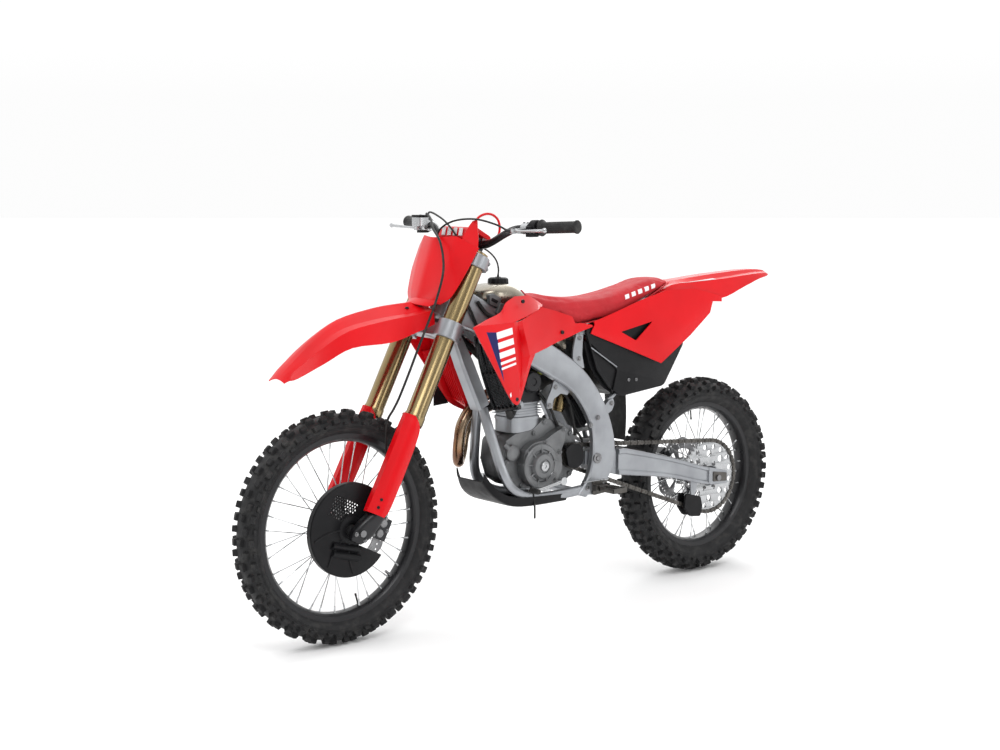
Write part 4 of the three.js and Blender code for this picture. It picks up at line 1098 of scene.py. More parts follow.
def tank():
    rows = []
    for x, low, high, half in ((-235, 990, 1008, 30), (-226, 982, 1018, 46), (-190, 966, 1031, 66),
                               (-156, 944, 1035, 71), (-120, 925, 1033, 72), (-78, 900, 1010, 72),
                               (-50, 880, 966, 72), (40, 832, 908, 72), (96, 806, 862, 60)):
        middle, rise = (low + high) / 2, (high - low) / 2
        ring = []
        for k in range(32):
            turn = TAU * k / 32
            c, s = math.cos(turn), math.sin(turn)
            ring.append((x, half * math.copysign(abs(c) ** 0.55, c),
                         middle + rise * math.copysign(abs(s) ** 0.6, s)))
        rows.append([Vector(p) for p in ring])
    columns = [smooth_line(column, 4) for column in zip(*rows)]
    piece("fuel_tank", between_rings([list(r) for r in zip(*columns)]), titanium, "chassis",
          replaces="fuel_tank", slot="titanium", sharp=50)
    cap = []
    for along, base, wave in ((0, 30, 0), (3, 33, 0), (6, 33, 1.6), (24, 32, 1.6), (28, 29, 1.0),
                              (30, 24, 0)):
        ring = []
        for k in range(96):
            turn = TAU * k / 96
            r = base - wave * (0.5 + 0.5 * math.cos(turn * 16))
            ring.append((-133 + r * math.cos(turn), r * math.sin(turn), 1022 + along))
        cap.append(ring)
    piece("tank_cap", between_rings(cap), black_plastic, "chassis", sharp=40)
    boss = stepped_rod((-133, 0, 1049), (0, 0, 1), [(0, 9), (5, 9), (5, 3.4), (11, 3.4)], 20)
    piece("tank_cap_breather", boss, black_plastic, "chassis")
    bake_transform(piece("tank_vent_hose",
                   tube([(-133, 0, 1058), (-134, -3, 1078), (-146, -8, 1104), (-172, -12, 1128),
                         (-206, -14, 1146), (-228, -14, 1150)], 2.6, 10), rubber, None))


LOUVRE_TOP = Vector((-280, -166, 892)), Vector((-290, -78, 884))
LOUVRE_FOOT = Vector((-192, -164, 668)), Vector((-208, -72, 650))


RADIATOR_TILT = -0.4
RADIATOR_SWEEP = 0.25
LOUVRE_BOW = Vector((-10, 0, 0))
LOUVRE_BLADE = Vector((26, 11, 6))
LOUVRE_COUNT = 7


def radiators():
    for name, side in (("left", -1), ("right", 1)):
        centre = Vector((-217, side * 118, 771))

        def placed(shape):
            tilted = turned(shape, "Y", RADIATOR_TILT)
            return moved(turned(tilted, "Z", -side * RADIATOR_SWEEP), centre)

        core = box(-13, 13, -39, 39, -113, 113)
        tanks = [box(-16, 16, -42, 42, low, low + 18) for low in (104, -122)]
        fins = [box(-14.2, 14.2, -38, 38, z, z + 1.3) for z in range(-100, 101, 5)]
        piece(f"radiator_{name}", placed(merge(core, *tanks)), alloy, "chassis",
              replaces=f"radiator_{name}", slot="black_alloy", bevel=2.5)
        piece(f"radiator_{name}_fins", placed(merge(*fins)), black_metal, "chassis")


def louvre_edge(share):
    """The top and the foot of the louvre, at a share of its width."""
    return LOUVRE_TOP[0].lerp(LOUVRE_TOP[1], share), LOUVRE_FOOT[0].lerp(LOUVRE_FOOT[1], share)


def radiator_louvres():
    thin = Vector((-0.4, 1, 0)).normalized() * 1.8
    slats = []
    for k in range(LOUVRE_COUNT):
        top, foot = louvre_edge(k / (LOUVRE_COUNT - 1))
        rings = []
        for i in range(9):
            arch = math.sin(math.pi * i / 8)
            at = top.lerp(foot, i / 8) + LOUVRE_BOW * arch
            blade = LOUVRE_BLADE * (0.75 + 0.25 * arch)
            rings.append([at - thin, at + thin, at + blade + thin * 0.6, at + blade - thin * 0.6])
        slats.append(between_rings(rings))
    for share, size in ((0.0, 7), (0.5, 3.5), (1.0, 8)):
        start = LOUVRE_TOP[0].lerp(LOUVRE_FOOT[0], share)
        end = LOUVRE_TOP[1].lerp(LOUVRE_FOOT[1], share)
        lift = LOUVRE_BOW * math.sin(math.pi * share) - LOUVRE_BOW
        slats.append(rod(start + lift, end + lift, size, 10))
    _, right = pair("radiator_louvre", merge(*slats), glossy_black, bevel=0.4)
    right.data.materials.clear()
    right.data.materials.append(red)


def lower_guards():
    liner = [[(-300, 174, 820), (-240, 160, 826), (-186, 152, 829), (-176, 148, 829)],
             [(-268, 170, 752), (-222, 160, 742), (-150, 152, 730), (-136, 150, 728)],
             [(-240, 168, 704), (-214, 162, 690), (-130, 158, 680), (-112, 156, 676)],
             [(-204, 165, 652), (-178, 163, 636), (-128, 162, 616), (-92, 162, 613)]]
    corner = [[(-252, 172, 716), (-238, 170, 712)],
              [(-256, 172, 680), (-212, 168, 676)],
              [(-258, 170, 643), (-204, 166, 648)]]
    inside = (0, -2000, 850)
    piece("shroud_lower_guard", panel(liner, 3, inside, steps=3), red, "chassis")
    piece("radiator_lower_guard", panel(corner, 3, inside, steps=3), black_plastic, "chassis")


def coolant_hoses():
    pair("coolant_hose", merge(
        tube([(-186, -110, 664), (-170, -100, 640), (-150, -80, 628), (-120, -58, 640),
              (-108, -50, 660)], 11, 16),
        tube([(-262, -100, 880), (-240, -80, 872), (-200, -62, 838), (-150, -50, 790),
              (-116, -44, 768)], 11, 16),
    ), rubber)


def airbox():
    cover = [(146, 880), (196, 748), (246, 690), (300, 655), (496, 676), (588, 812), (552, 890),
             (440, 926), (300, 905)]
    window = [(166, 838), (198, 762), (250, 700), (264, 664), (286, 742)]
    core = [(150, 842), (176, 760), (230, 690), (290, 655), (328, 658), (342, 740), (378, 818),
            (424, 880), (300, 862)]
    shape = merge(
        pierced([rounded(cover, 14), rounded(window, 8)[::-1]], -99, -92, 1.2),
        prism(rounded(cover, 14), -92.5, -88),
    )
    left, right = pair("airbox_cover", shape, black_plastic, sharp=30)
    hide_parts("airbox")
    carved(right, rod((320, 145, 708), (790, 158, 817), 63, 48))
    piece("airbox_body", prism(rounded(core, 16), -84, 84), black_plastic, "chassis", bevel=2)
    pair("airbox_screws",
         merge(*[socket_screw((x, -99, z), (0, -1, 0), 5.5, 2.5) for x, z in ((335, 706), (369, 704))]),
         steel)
    ridge = rod((168, -99.5, 822), (281, -99.5, 752), 2.2, 10)
    pair("airbox_ridge", ridge, alloy)
    flap = []
    for z in (660, 640, 600, 560, 520, 498):
        sag = 4 * math.sin((660 - z) / 160 * math.pi)
        flap.append([Vector((366 + sag, y, z)) for y in (-50, -46, -20, 0, 20, 46, 50)])
    piece("mud_flap", panel(flap, 3, (2000, 0, 580), steps=3), rubber, "chassis")


def skid_plate():
    sections = ((-246, 428, 66), (-218, 386, 82), (-178, 356, 92), (-128, 341, 96), (-50, 336.8, 98),
                (70, 336.8, 96))
    rows = []
    for x, z, half in sections:
        lip = 30 if x < 0 else 26
        rows.append(across(x, ((0, z), (half * 0.55, z), (half - 8, z + 1), (half, z + 9),
                               (half + 2, z + lip))))
    shape = panel(rows, 4, (0, 0, 3000), steps=4)
    piece("skid_plate", shape, black_plastic, "chassis", replaces="skid_plate",
          slot="black_plastic", sharp=40)
    screws = [socket_screw((-196, -80, 380), (-0.4, -0.9, -0.1), 7, 4),
              socket_screw((-196, 80, 380), (-0.4, 0.9, -0.1), 7, 4)]
    piece("skid_plate_screws", merge(*screws), white_plastic, "chassis")
    piece("engine_vent_tube", tube([(-60, -60, 420), (-66, -90, 380), (-68, -101, 340), (-68, -102, 300)],
                                   3, 10), rubber, "chassis")


# ---------------------------------------------------------------- seat
SEAT_RINGS = (
    (-66, 1014, 1009, 34), (-30, 1004, 968, 56), (40, 986, 922, 78), (120, 976, 897, 90),
    (210, 974, 904, 91), (300, 984, 914, 91), (400, 1004, 952, 88), (480, 1024, 985, 84),
    (545, 1031, 1010, 70),
)


def seat_rings(shrink):
    """Sections of the cushion along its length, each pulled in by shrink."""
    lines = []
    for share, height in ((0.97, 0.0), (1.0, 0.28), (0.97, 0.62), (0.84, 0.9), (0.5, 1.0), (0.0, 1.03)):
        line = [Vector((x, (half - shrink) * share, low + shrink * 0.5 + (top - low - shrink) * height))
                for x, top, low, half in SEAT_RINGS]
        lines.append(smooth_line(line, 4))
    rings = []
    for half_ring in zip(*lines):
        left = [Vector((p.x, -p.y, p.z)) for p in half_ring[:-1]]
        rings.append(left + [half_ring[-1]] + list(half_ring[:-1])[::-1])
    return rings


def stuffed(made, pressure, voxel, reach):
    """Blows a closed shape up like a filled cushion, each point moving no further than reach."""
    remesh = made.modifiers.new("remesh", "REMESH")
    remesh.mode = "VOXEL"
    remesh.voxel_size = voxel * MM
    made.data = evaluated_mesh(made)
    made.modifiers.clear()
    rest = [v.co.copy() for v in made.data.vertices]
    cloth = made.modifiers.new("cloth", "CLOTH")
    cloth.settings.use_pressure = True
    cloth.settings.uniform_pressure_force = pressure
    cloth.settings.effector_weights.gravity = 0
    cloth.settings.tension_stiffness = 25
    for frame_number in range(1, 21):
        bpy.context.scene.frame_set(frame_number)
    blown = made.evaluated_get(bpy.context.evaluated_depsgraph_get()).to_mesh()
    ends = [v.co.copy() for v in blown.vertices]
    made.evaluated_get(bpy.context.evaluated_depsgraph_get()).to_mesh_clear()
    made.modifiers.clear()
    for vertex, start, end in zip(made.data.vertices, rest, ends):
        step = end - start
        if step.length > reach * MM:
            step *= reach * MM / step.length
        vertex.co = start + step
    bpy.context.scene.frame_set(1)
    for polygon in made.data.polygons:
        polygon.use_smooth = True
    return made


def seat_prints(tree, place, base):
    """Five slanting white bars on the side of the seat."""
    bars = []
    for k in range(5):
        x = 340 + 30 * k
        low = 966 + 0.24 * (x - 340)
        bars.append((WHITE, ((x, low), (x + 18, low + 4), (x + 22, low + 18), (x + 4, low + 14))))
    # under the printed bars: the gripper dots with painted shade between them
    return decals(*bars)(tree, place, dots_with_painted_shade(tree, place, base))


printed_cloth = seat_paint("seat_cover_with_prints", seat_prints)


def seat():
    made = piece("seat", between_rings(seat_rings(6)), printed_cloth, "chassis", replaces="seat",
                 slot="seat_cover", sharp=80)
    stuffed(made, 4, 5, 6)
    made.data.materials.clear()
    made.data.materials.append(printed_cloth)
    finer = made.modifiers.new("finer", "SUBSURF")
    finer.levels = finer.render_levels = 1
    edge = [Vector((x, -(half - 3) * 0.985, low + 2)) for x, _, low, half in SEAT_RINGS]
    pair("seat_piping", tube(edge, 2.4, 8, 5), seat_cloth)


shrouds()
side_panels()
front_fender()
rear_fender()
number_plate()
tank()
radiators()
radiator_louvres()
lower_guards()
coolant_hoses()
airbox()
skid_plate()
seat()


# ---------------------------------------------------------------- fork and steering
def loop(centre, half_x, half_y, height, power=0.6, count=28):
    """A rounded rectangle around an upright axis, as one ring of a loft."""
    ring = []
    for k in range(count):
        turn = TAU * k / count
        c, s = math.cos(turn), math.sin(turn)
        ring.append(Vector((centre[0] + half_x * math.copysign(abs(c) ** power, c),
                            centre[1] + half_y * math.copysign(abs(s) ** power, s), height)))
    return ring


def slab(outline, low, high):
    """A plan outline, in x and y, made tall from low to high."""
    return between_rings([[Vector((x, y, z)) for x, y in outline] for z in (low, high)])


def fork_leg(name, side):
    y = side * LEG["y"]
    foot, up = Vector((LEG["x"], y, 0)), Vector((0, 0, 1))
    outer = stepped_rod(foot, up, [(712, 25), (712, 30), (714, 31.4), (738, 31.4), (743, 29.5),
                                   (980, 29.5), (1262, 29.5), (1263, 28)], 48)
    piece(f"fork_tube_{name}", in_fork(outer), gold, "steering", replaces=f"fork_tube_{name}",
          slot="gold_tube")
    seal = stepped_rod(foot, up, [(708, 25.5), (708.6, 30.5), (711, 31.2), (712, 30)], 40)
    piece(f"fork_seal_{name}", in_fork(seal), rubber, "steering")
    cap = merge(
        stepped_rod(foot, up, [(1256, 24), (1263, 24), (1265, 22.5)], 40),
        bolt(foot + up * 1258, up, 15, 8, washer=False),
    )
    piece(f"fork_cap_{name}", in_fork(cap), steel, "steering")
    inner = stepped_rod(foot, up, [(430, 24.5), (910, 24.5)], 48)
    piece(f"fork_slider_{name}", in_fork(inner), chrome, "fork_lower", replaces=f"fork_slider_{name}",
          slot="hard_chrome")
    lug = [
        loop((-22, y), 27, 27, 462, 1.0), loop((-23, y), 28, 27, 440, 0.9),
        loop((-25, y), 27, 24, 418, 0.75),
        loop((-36, y + side * 0.5), 31, 21, 392, 0.6), loop((-46, y - side), 33, 19, 362, 0.55),
        loop((-55, y - side), 24, 17, 338, 0.6), loop((-56, y - side * 2), 18, 15, 330, 0.7),
    ]
    piece(f"fork_lug_{name}", in_fork(between_rings(lug)), black_metal, "fork_lower", bevel=1.5, sharp=50)
    face = side * 124
    screws = [bolt((lx, face - side * 5, s), (0, side, 0), 5, 5) for lx, s in ((-36, 346), (-72, 352))]
    screws += [socket_screw((-40, face - side * 4, s), (0, side, 0), 4.5, 3.5) for s in (398, 412)]
    piece(f"fork_lug_screws_{name}", in_fork(merge(*screws)), steel, "fork_lower")
    rows = []
    for s, r, front, low, high in ((425, 40, 4, -62, 92), (452, 39, 5, -82, 108), (520, 38, 4, -94, 116),
                                   (600, 37.5, 3.5, -98, 118), (680, 37, 3, -92, 112),
                                   (712, 36.8, 2.5, -74, 92), (733, 36.6, 2, -42, 58)):
        row = []
        for share in (-1, -0.72, -0.4, -0.14, 0.14, 0.45, 0.75, 1):
            turn = math.radians(share * (high if share > 0 else -low))
            reach = r + (front if abs(share) < 0.2 else 0)
            row.append(Vector((LEG["x"] - reach * math.cos(turn), y + side * r * math.sin(turn), s)))
        rows.append(row)
    guard = panel(rows, 2.6, (LEG["x"], y, 600), steps=4, sharp_columns=(3, 4))
    piece(f"fork_guard_{name}", in_fork(guard), red, "fork_lower", replaces=f"fork_guard_{name}",
          slot="red_plastic", sharp=14)
    pins = [socket_screw((LEG["x"] - 24, y + side * 30, s), (-0.62, side * 0.78, 0), 4.5, 3.6)
            for s in (446, 470)]
    piece(f"guard_screws_{name}", in_fork(merge(*pins)), black_metal, "fork_lower")


def triple_clamp(name, low, high, waist, bulge):
    outline = []
    for x, y in ((-38, -100), (-30, -62), (-bulge, -24), (-bulge - 4, 0), (-bulge, 24), (-30, 62),
                 (-38, 100), (waist - 10, 100), (waist, 62), (waist + 2, 24), (waist + 4, 0),
                 (waist + 2, -24), (waist, -62), (waist - 10, -100)):
        outline.append((x, y))
    parts = [slab(rounded(outline, 12, 4), low + 8, high - 8)]
    for side in (-1, 1):
        foot = Vector((LEG["x"], side * LEG["y"], 0))
        parts.append(stepped_rod(foot, (0, 0, 1), [(low, 36), (low + 2, 38.3), (high - 2, 38.3),
                                                   (high, 36)], 44))
        parts.append(slab(rounded([(-4, side * 84), (22, side * 92), (22, side * 116), (-2, side * 128)],
                                  5, 3), low + 3, high - 3))
    piece(name, in_fork(merge(*parts)), alloy, "steering", replaces=name, slot="frame_alloy", bevel=1.6,
          sharp=40)
    pinch = []
    for side in (-1, 1):
        for share in (0.28, 0.72):
            s = low + (high - low) * share
            pinch.append(bolt((12, side * 121, s), (0.2, side, 0), 5.2, 6))
    piece(name + "_bolts", in_fork(merge(*pinch)), steel, "steering")


def brake_parts():
    body = merge(
        slab(rounded([(10, -76), (64, -76), (66, -60), (10, -60)], 6), 368, 434),
        slab(rounded([(8, -50), (66, -50), (64, -32), (12, -32)], 6), 370, 432),
        slab(rounded([(48, -72), (66, -72), (66, -34), (48, -34)], 4), 374, 428),
    )
    piece("front_caliper", in_fork(body), black_metal, "fork_lower", replaces="front_caliper",
          slot="cast_alloy", bevel=2.5)
    pots = [stepped_rod((36, -74, s), (0, -1, 0), [(0, 12), (3.5, 12), (5, 10), (5, 4), (3.5, 0.1)], 28)
            for s in (385, 416)]
    pins = [bolt((lx, -75, s), (0, -1, 0), 4.5, 5) for lx, s in ((16, 374), (16, 428), (58, 400))]
    bracket = slab(rounded([(-22, -84), (16, -80), (20, -72), (-22, -72)], 4), 372, 412)
    piece("caliper_pistons", in_fork(merge(*pots)), steel, "fork_lower")
    piece("caliper_pins", in_fork(merge(*pins)), steel, "fork_lower")
    piece("caliper_bracket", in_fork(bracket), cast, "fork_lower", bevel=1.5)
    banjo = merge(
        stepped_rod((40, -60, 432), (0, -1, 0), [(0, 7), (12, 7), (12, 5), (17, 5)], 16),
        rod((40, -66, 432), (40, -66, 448), 5, 12),
    )
    return piece("hose_fitting", in_fork(banjo), steel, "fork_lower")


def disc_guard():
    centre = AXLE_IN_FORK
    start, stop = math.radians(71.5), math.radians(347.5)

    def arc(radius):
        return [(centre[0] + radius * math.cos(start + (stop - start) * k / 60),
                 centre[1] + radius * math.sin(start + (stop - start) * k / 60)) for k in range(61)]

    edge = arc(137) + [(-12, 330)]
    holes = [ring_outline(centre, 20, 32)[::-1]]
    for row in range(8):
        for column in range(9):
            x = centre[0] - 92 + column * 9.4 + (row % 2) * 4.7
            z = centre[1] + 16 + row * 8.2
            radius = math.hypot(x - centre[0], z - centre[1])
            if 46 < radius < 118 and x < centre[0] - 8:
                holes.append(ring_outline((x, z), 3.7, 6)[::-1])
    plate = pierced([edge, *holes], -65.2, -61.6, 0.5)
    rings = []
    for k in range(61):
        turn = start + (stop - start) * k / 60
        section = [(139, -62), (139, -45), (136.4, -44), (136.4, -61), (130, -62)]
        rings.append([Vector((centre[0] + r * math.cos(turn), y, centre[1] + r * math.sin(turn)))
                      for r, y in section])
    ribs = []
    for k in range(3):
        turn = math.radians(200 + 42 * k)
        ribs.append(tube([(centre[0] + r * math.cos(turn + (r - 40) * 0.003), -65.5,
                           centre[1] + r * math.sin(turn + (r - 40) * 0.003))
                          for r in (40, 70, 100, 128)], 3.2, 8))
    hub_ring = stepped_rod((centre[0], -60, centre[1]), (0, -1, 0),
                           [(0, 42), (6.5, 42), (9, 38), (9, 24), (4, 22)], 48)
    piece("disc_guard", in_fork(merge(plate, between_rings(rings), *ribs)), black_plastic, "fork_lower",
          replaces="disc_guard", slot="black_plastic", sharp=30)
    piece("disc_guard_hub", in_fork(hub_ring), black_plastic, "fork_lower")
    scoop = []
    for lean, drop in ((0, 0), (10, 22)):
        rows = []
        for share in (0, 0.33, 0.66, 1):
            x = centre[0] - 46 + lean + share * 96
            s = centre[1] - 62 - drop + share * 20
            rows.append([Vector((x, -65, s + 12)), Vector((x + 2, -74, s + 6)),
                         Vector((x + 3, -76, s - 2)), Vector((x, -66, s - 12))])
        scoop.append(panel(rows, 3, (0, 400, s), steps=3))
    piece("disc_guard_scoop", in_fork(merge(*scoop)), black_plastic, "fork_lower", sharp=40)


HOSE = (
    (-262, 196, 1240), (-280, 170, 1248), (-306, 120, 1238), (-338, 68, 1225), (-366, 24, 1206),
    (-397, -50, 1172),
    (-416, -92, 1119), (-439, -117, 1067), (-467, -118, 991), (-486, -111, 940), (-522, -105, 858),
    (-550, -102, 795),
    (-584, -99, 724), (-600, -92, 690), (-606, -70, 655), (-603, -57, 600), (-602, -56, 548),
    (-612, -56, 490),
    (-606, -58, 432), (-604, -64, 392), (-612, -66, 372.5),
)


def brake_hose(fitting):
    line = smooth_line(HOSE, 8)
    radius = 3.6
    hose = piece("front_brake_hose", tube(line, radius, 12, smooth=False), rubber, None,
                 replaces="front_brake_hose", slot="black_rubber")
    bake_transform(hose)


def lever(name, body, side, reach, replaced):
    pivot = Vector((-268, side * 238, 1202))
    blade = [pivot, pivot + Vector((-4, side * 35, 1)), pivot + Vector((2, side * 85, 3)),
             pivot + Vector((10, side * reach, 5))]
    shape = tube(blade, lambda t: 6.2 - 1.6 * math.sin(math.pi * min(t * 1.4, 1)), 14, 10)
    flat = [Vector((p.x, p.y, pivot.z + (p.z - pivot.z) * 0.8 + 0.5)) for p in shape[0]]
    end = blade[-1]
    ball = stepped_rod(end - Vector((0, side * 7, 0)), (0, side, 0), [
        (7 - 7.6 * math.cos(math.pi * k / 10), max(7.6 * math.sin(math.pi * k / 10), 0.1))
        for k in range(11)], 20)
    eye = stepped_rod(pivot + Vector((0, 0, -5)), (0, 0, 1), [(0, 8), (1, 9), (9, 9), (10, 8)], 24)
    piece(name, merge((flat, shape[1]), ball, eye), polished, body, replaces=replaced, slot="cast_alloy",
          sharp=50)


def perch(side):
    bar = Vector((-217, side * 238, 1209.5))
    pivot = Vector((-268, side * 238, 1202))
    along = Vector((0.13, side * 0.99, 0.02)).normalized()
    ring = stepped_rod(bar - along * 13, along, [(0, 16.5), (1, 17.5), (25, 17.5), (26, 16.5)], 32)
    arm = slab(rounded([(-276, side * 228), (-224, side * 224), (-210, side * 236), (-222, side * 252),
                        (-276, side * 248)], 7), 1195, 1210)
    screw = bolt(pivot + Vector((0, 0, 8)), (0, 0, 1), 4.6, 5)
    screws = [bolt(bar + Vector((-4, side * d, 15)), (0, 0, 1), 3.4, 4) for d in (-8, 8)]
    return merge(ring, arm), merge(screw, *screws)


def grip(name, body, side, replaced):
    start, end = Vector((-203, side * 285, 1212)), Vector((-173, side * 413.5, 1217))
    direction = (end - start).normalized()
    first, up = frame_along(direction)
    length = (end - start).length
    rings = []
    sizes = [(0, 20, 0), (1, 24, 0), (4, 25, 0), (6, 24, 0), (8, 18.5, 0), (12, 17, 0.5)]
    sizes += [(12 + (length - 24) * k / 24, 16.6 + (0.5 if k % 2 else 0), 0.5) for k in range(1, 24)]
    sizes += [(length - 10, 17.4, 0), (length - 6, 19.5, 0), (length - 2, 20, 0), (length, 18.5, 0),
              (length, 11, 0)]
    for along, radius, wave in sizes:
        ring = []
        for k in range(72):
            turn = TAU * k / 72
            r = radius + wave * math.cos(18 * turn)
            ring.append(start + direction * along + first * (r * math.cos(turn))
                        + up * (r * math.sin(turn)))
        rings.append(ring)
    piece(name, between_rings(rings), rubber, body, replaces=replaced, slot="black_rubber", sharp=60)


def controls():
    half = [(-248, 105, 1164), (-240, 165, 1192), (-226, 205, 1208), (-203, 285, 1212), (-175, 404, 1216.6)]
    line = [(x, -y, z) for x, y, z in reversed(half)] + [(-250, -62, 1157), (-250, 0, 1156),
                                                         (-250, 62, 1157)] + half
    shape = tube(line, lambda t: 10.9 + 3.2 * max(0.0, 1 - abs(t - 0.5) / 0.16) ** 0.5
                 if abs(t - 0.5) < 0.16 else 10.9, 24, 8)
    piece("handlebar", shape, black_metal, "steering", replaces="handlebar", slot="black_alloy")
    block = slab(rounded([(-272, -46), (-228, -46), (-228, 46), (-272, 46)], 12), 1160, 1180)
    piece("bar_pad_base", block, rubber, "steering", bevel=4)
    grip("left_grip", "steering", -1, "left_grip")
    grip("throttle_grip", "throttle", 1, "throttle_grip")
    lever("clutch_lever", "clutch", -1, 125, "clutch_lever")
    lever("front_brake_lever", "front_brake", 1, 150, "front_brake_lever")
    for side, name in ((-1, "clutch_perch"), (1, "brake_perch")):
        body, screws = perch(side)
        piece(name, body, polished, "steering", bevel=1.2)
        piece(name + "_screws", screws, steel, "steering")
    reservoir = slab(rounded([(-283, 205), (-244, 205), (-244, 249), (-283, 249)], 8), 1208, 1236)
    cylinder = stepped_rod((-256, 206, 1206), (0, 1, 0), [(0, 6), (0, 9), (44, 9)], 24)
    piece("front_master_cylinder", merge(reservoir, cylinder), polished, "steering",
          replaces="front_master_cylinder", slot="cast_alloy", bevel=1.6)
    lid = slab(rounded([(-284, 204), (-243, 204), (-243, 250), (-284, 250)], 8), 1236.5, 1243)
    screws = [socket_screw((x, y, 1242), (0, 0, 1), 3.2, 2) for x, y in ((-277, 211), (-250, 243))]
    piece("master_cylinder_cap", lid, black_plastic, "steering", bevel=1)
    piece("master_cylinder_screws", merge(*screws), steel, "steering")
    axis_left, axis_right = Vector((0.236, -0.971, 0.03)), Vector((0.236, 0.971, 0.03))
    for name, centre, axis in (("throttle_housing", Vector((-209, 268, 1211.5)), axis_right),
                               ("switch_housing", Vector((-209, -268, 1211.5)), axis_left)):
        drum = stepped_rod(centre - axis * 13, axis, [(0, 21), (2, 24), (22, 24), (24, 22)], 32)
        block = moved(box(-16, 16, -11, 11, -16, 16), centre + Vector((-14, 0, -10)))
        piece(name, merge(drum, block), black_plastic, "steering", bevel=1.5)
    button = stepped_rod((-232, -268, 1196), (-1, 0, 0), [(0, 6), (5, 6), (6, 5)], 20)
    piece("stop_button", button, clear_red, "steering")
    guide = [(-209, 268, 1232), (-222, 240, 1246), (-252, 190, 1252), (-290, 110, 1246), (-312, 30, 1224),
             (-316, -30, 1180), (-306, -50, 1120), (-304, -50, 1080)]
    piece("throttle_cable", tube(guide, 3, 10), rubber, "steering")
    guide = [(-268, -214, 1202), (-284, -170, 1222), (-306, -100, 1236), (-326, -20, 1228),
             (-330, 44, 1196), (-318, 62, 1140), (-306, 60, 1090)]
    piece("clutch_cable", tube(guide, 3, 10), rubber, "steering")
    boot = stepped_rod((-266, -226, 1202), (-0.3, 1, 0.1), [(0, 4), (2, 6.5), (18, 6), (22, 4)], 16)
    piece("clutch_cable_adjuster", boot, black_metal, "steering")


def bar_clamps():
    parts, screws = [], []
    for side in (-1, 1):
        y = side * 46
        parts.append(slab(rounded([(-10, y - 14), (22, y - 14), (22, y + 14), (-10, y + 14)], 5), 1247,
                          1300))
        parts.append(slab(rounded([(-11, y - 14), (23, y - 14), (23, y + 14), (-11, y + 14)], 5), 1302,
                          1318))
        screws += [bolt((lx, y + d, 1317), (0, 0, 1), 3.6, 4) for lx in (-5, 17) for d in (-8, 8)]
    piece("bar_clamps", in_fork(merge(*parts)), black_metal, "steering", bevel=2)
    piece("bar_clamp_screws", in_fork(merge(*screws)), steel, "steering")
    nut = merge(stepped_rod((0, 0, 1250), (0, 0, 1), [(0, 19), (6, 19), (7, 17)], 32),
                bolt((0, 0, 1256), (0, 0, 1), 14, 10, washer=False))
    piece("steering_stem_nut", in_fork(nut), polished, "steering")
    stem = stepped_rod((0, 0, 990), (0, 0, 1), [(0, 14), (260, 14)], 24)
    piece("steering_stem", in_fork(stem), steel, "steering")


fork_leg("left", -1)
fork_leg("right", 1)
triple_clamp("lower_triple_clamp", 983, 1037, 10, 30)
triple_clamp("upper_triple_clamp", 1215, 1255, 26, 26)
bar_clamps()
disc_guard()
brake_hose(brake_parts())
controls()


# ---------------------------------------------------------------- frame
SPAR_SECTIONS = (
    (-318, 1042, -352, 928, 30, 4), (-180, 955, -218, 868, 78, 48), (-80, 892, -122, 805, 98, 70),
    (27, 826, -20, 748, 110, 82), (126, 756, 72, 694, 115, 88), (198, 672, 128, 630, 116, 92),
    (242, 590, 163, 562, 115, 93), (264, 515, 170, 498, 114, 93), (262, 450, 160, 436, 114, 93),
    (236, 392, 140, 392, 112, 92), (190, 344, 110, 354, 108, 88),
)


def beam(sections, steps=5, recess=0.0, lip=0.16, chamfer=5.0):
    """A hollow-looking beam: each section is an upper and a lower edge point and an outer and inner y."""
    lines = []
    for column in range(2):
        lines.append(smooth_line([(s[2 * column], 0, s[2 * column + 1]) for s in sections], steps))
    widths = smooth_line([(s[4], s[5], 0) for s in sections], steps)
    rings = []
    for top, low, width in zip(*lines, widths):
        out, inn = width.x, width.y
        ring = []
        for share, y in ((0, inn), (0, out - chamfer), (0.05, out), (lip, out),
                         (lip + 0.05, out - recess), (0.95 - lip, out - recess), (1 - lip, out),
                         (0.95, out), (1, out - chamfer), (1, inn)):
            at = top.lerp(low, share)
            ring.append(Vector((at.x, y, at.z)))
        rings.append(ring)
    return between_rings(rings)


